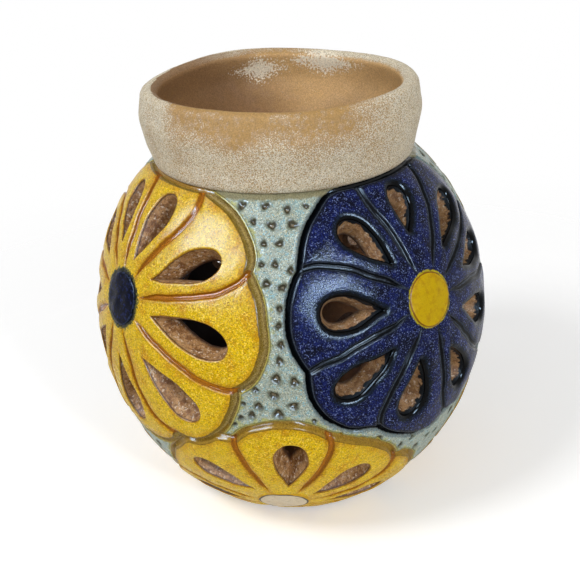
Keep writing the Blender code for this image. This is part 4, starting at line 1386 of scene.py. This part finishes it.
def looking(out, right, up, distance, body):
    """Placement of a camera or lamp that faces the body's centre from a distance."""
    turned = np.eye(4)
    turned[:3] = np.column_stack((right, up, out, np.array((0.0, 0.0, body.centre)) + distance * out))
    return Matrix(turned.tolist())


def add_surroundings(scene):
    """Even white surroundings: full white where they are seen or mirrored, and a plain level as light."""
    world = bpy.data.worlds.new("surroundings")
    world.use_nodes = True
    scene.world = world
    tree = world.node_tree
    path = node(tree, "LightPath").outputs
    seen = node(tree, "Math", {0: path["Is Camera Ray"], 1: path["Is Glossy Ray"]}, operation="MAXIMUM")
    seen = node(tree, "Math", {0: seen, 1: path["Is Transmission Ray"]}, operation="MAXIMUM")
    level = node(tree, "MapRange", {"Value": seen, "To Min": SURROUNDING_LIGHT, "To Max": 1.0})
    fill(tree, tree.nodes["Background"], {"Color": paint(WHITE), "Strength": level})


def add_camera(scene, body):
    """Camera that faces the body's centre, rolled about its line of sight."""
    camera = bpy.data.cameras.new("camera")
    camera.lens, camera.sensor_width, camera.clip_start = CAMERA_LENS, CAMERA_SENSOR, CAMERA_NEAR
    camera.shift_x, camera.shift_y = CAMERA_SHIFT
    out, right, up = facing(CAMERA_TURN, CAMERA_RISE)
    roll = math.radians(CAMERA_ROLL)
    across = math.cos(roll) * right - math.sin(roll) * up
    upwards = math.sin(roll) * right + math.cos(roll) * up
    thing = bpy.data.objects.new("camera", camera)
    thing.matrix_world = looking(out, across, upwards, CAMERA_DISTANCE, body)
    scene.collection.objects.link(thing)
    scene.camera = thing


class VasePanel(bpy.types.Panel):
    """Sizes, colours and steps of the vase."""
    bl_idname = "VIEW3D_PT_vase"
    bl_label = "Pottery vase"
    bl_space_type = "VIEW_3D"
    bl_region_type = "UI"
    bl_category = "Vase"

    def draw(self, context):
        """List the settings and the operators."""
        for group in (context.scene.vase_sizes, context.scene.vase_colours):
            for field in group.__annotations__:
                self.layout.prop(group, field)
        for step in STEPS:
            self.layout.operator(step.bl_idname)


STEPS = (VaseGround, VaseInside, VaseFloor, VaseCollar, VaseFlowers, VaseButtons, VaseStage)
CLASSES = (VaseSizes, VaseColours, *STEPS, VasePanel)


def register():
    """Register the classes and the settings."""
    for made in CLASSES:
        bpy.utils.register_class(made)
    bpy.types.Scene.vase_sizes = PointerProperty(type=VaseSizes)
    bpy.types.Scene.vase_colours = PointerProperty(type=VaseColours)


def unregister():
    """Remove the settings and the classes."""
    del bpy.types.Scene.vase_sizes
    del bpy.types.Scene.vase_colours
    for made in reversed(CLASSES):
        bpy.utils.unregister_class(made)


def main():
    """Make the whole vase and its stage."""
    register()
    bpy.ops.vase.ground()
    bpy.ops.vase.inside()
    bpy.ops.vase.floor()
    bpy.ops.vase.collar()
    bpy.ops.vase.flowers()
    bpy.ops.vase.buttons()
    bpy.ops.vase.stage()


if __name__ == "__main__":
    main()
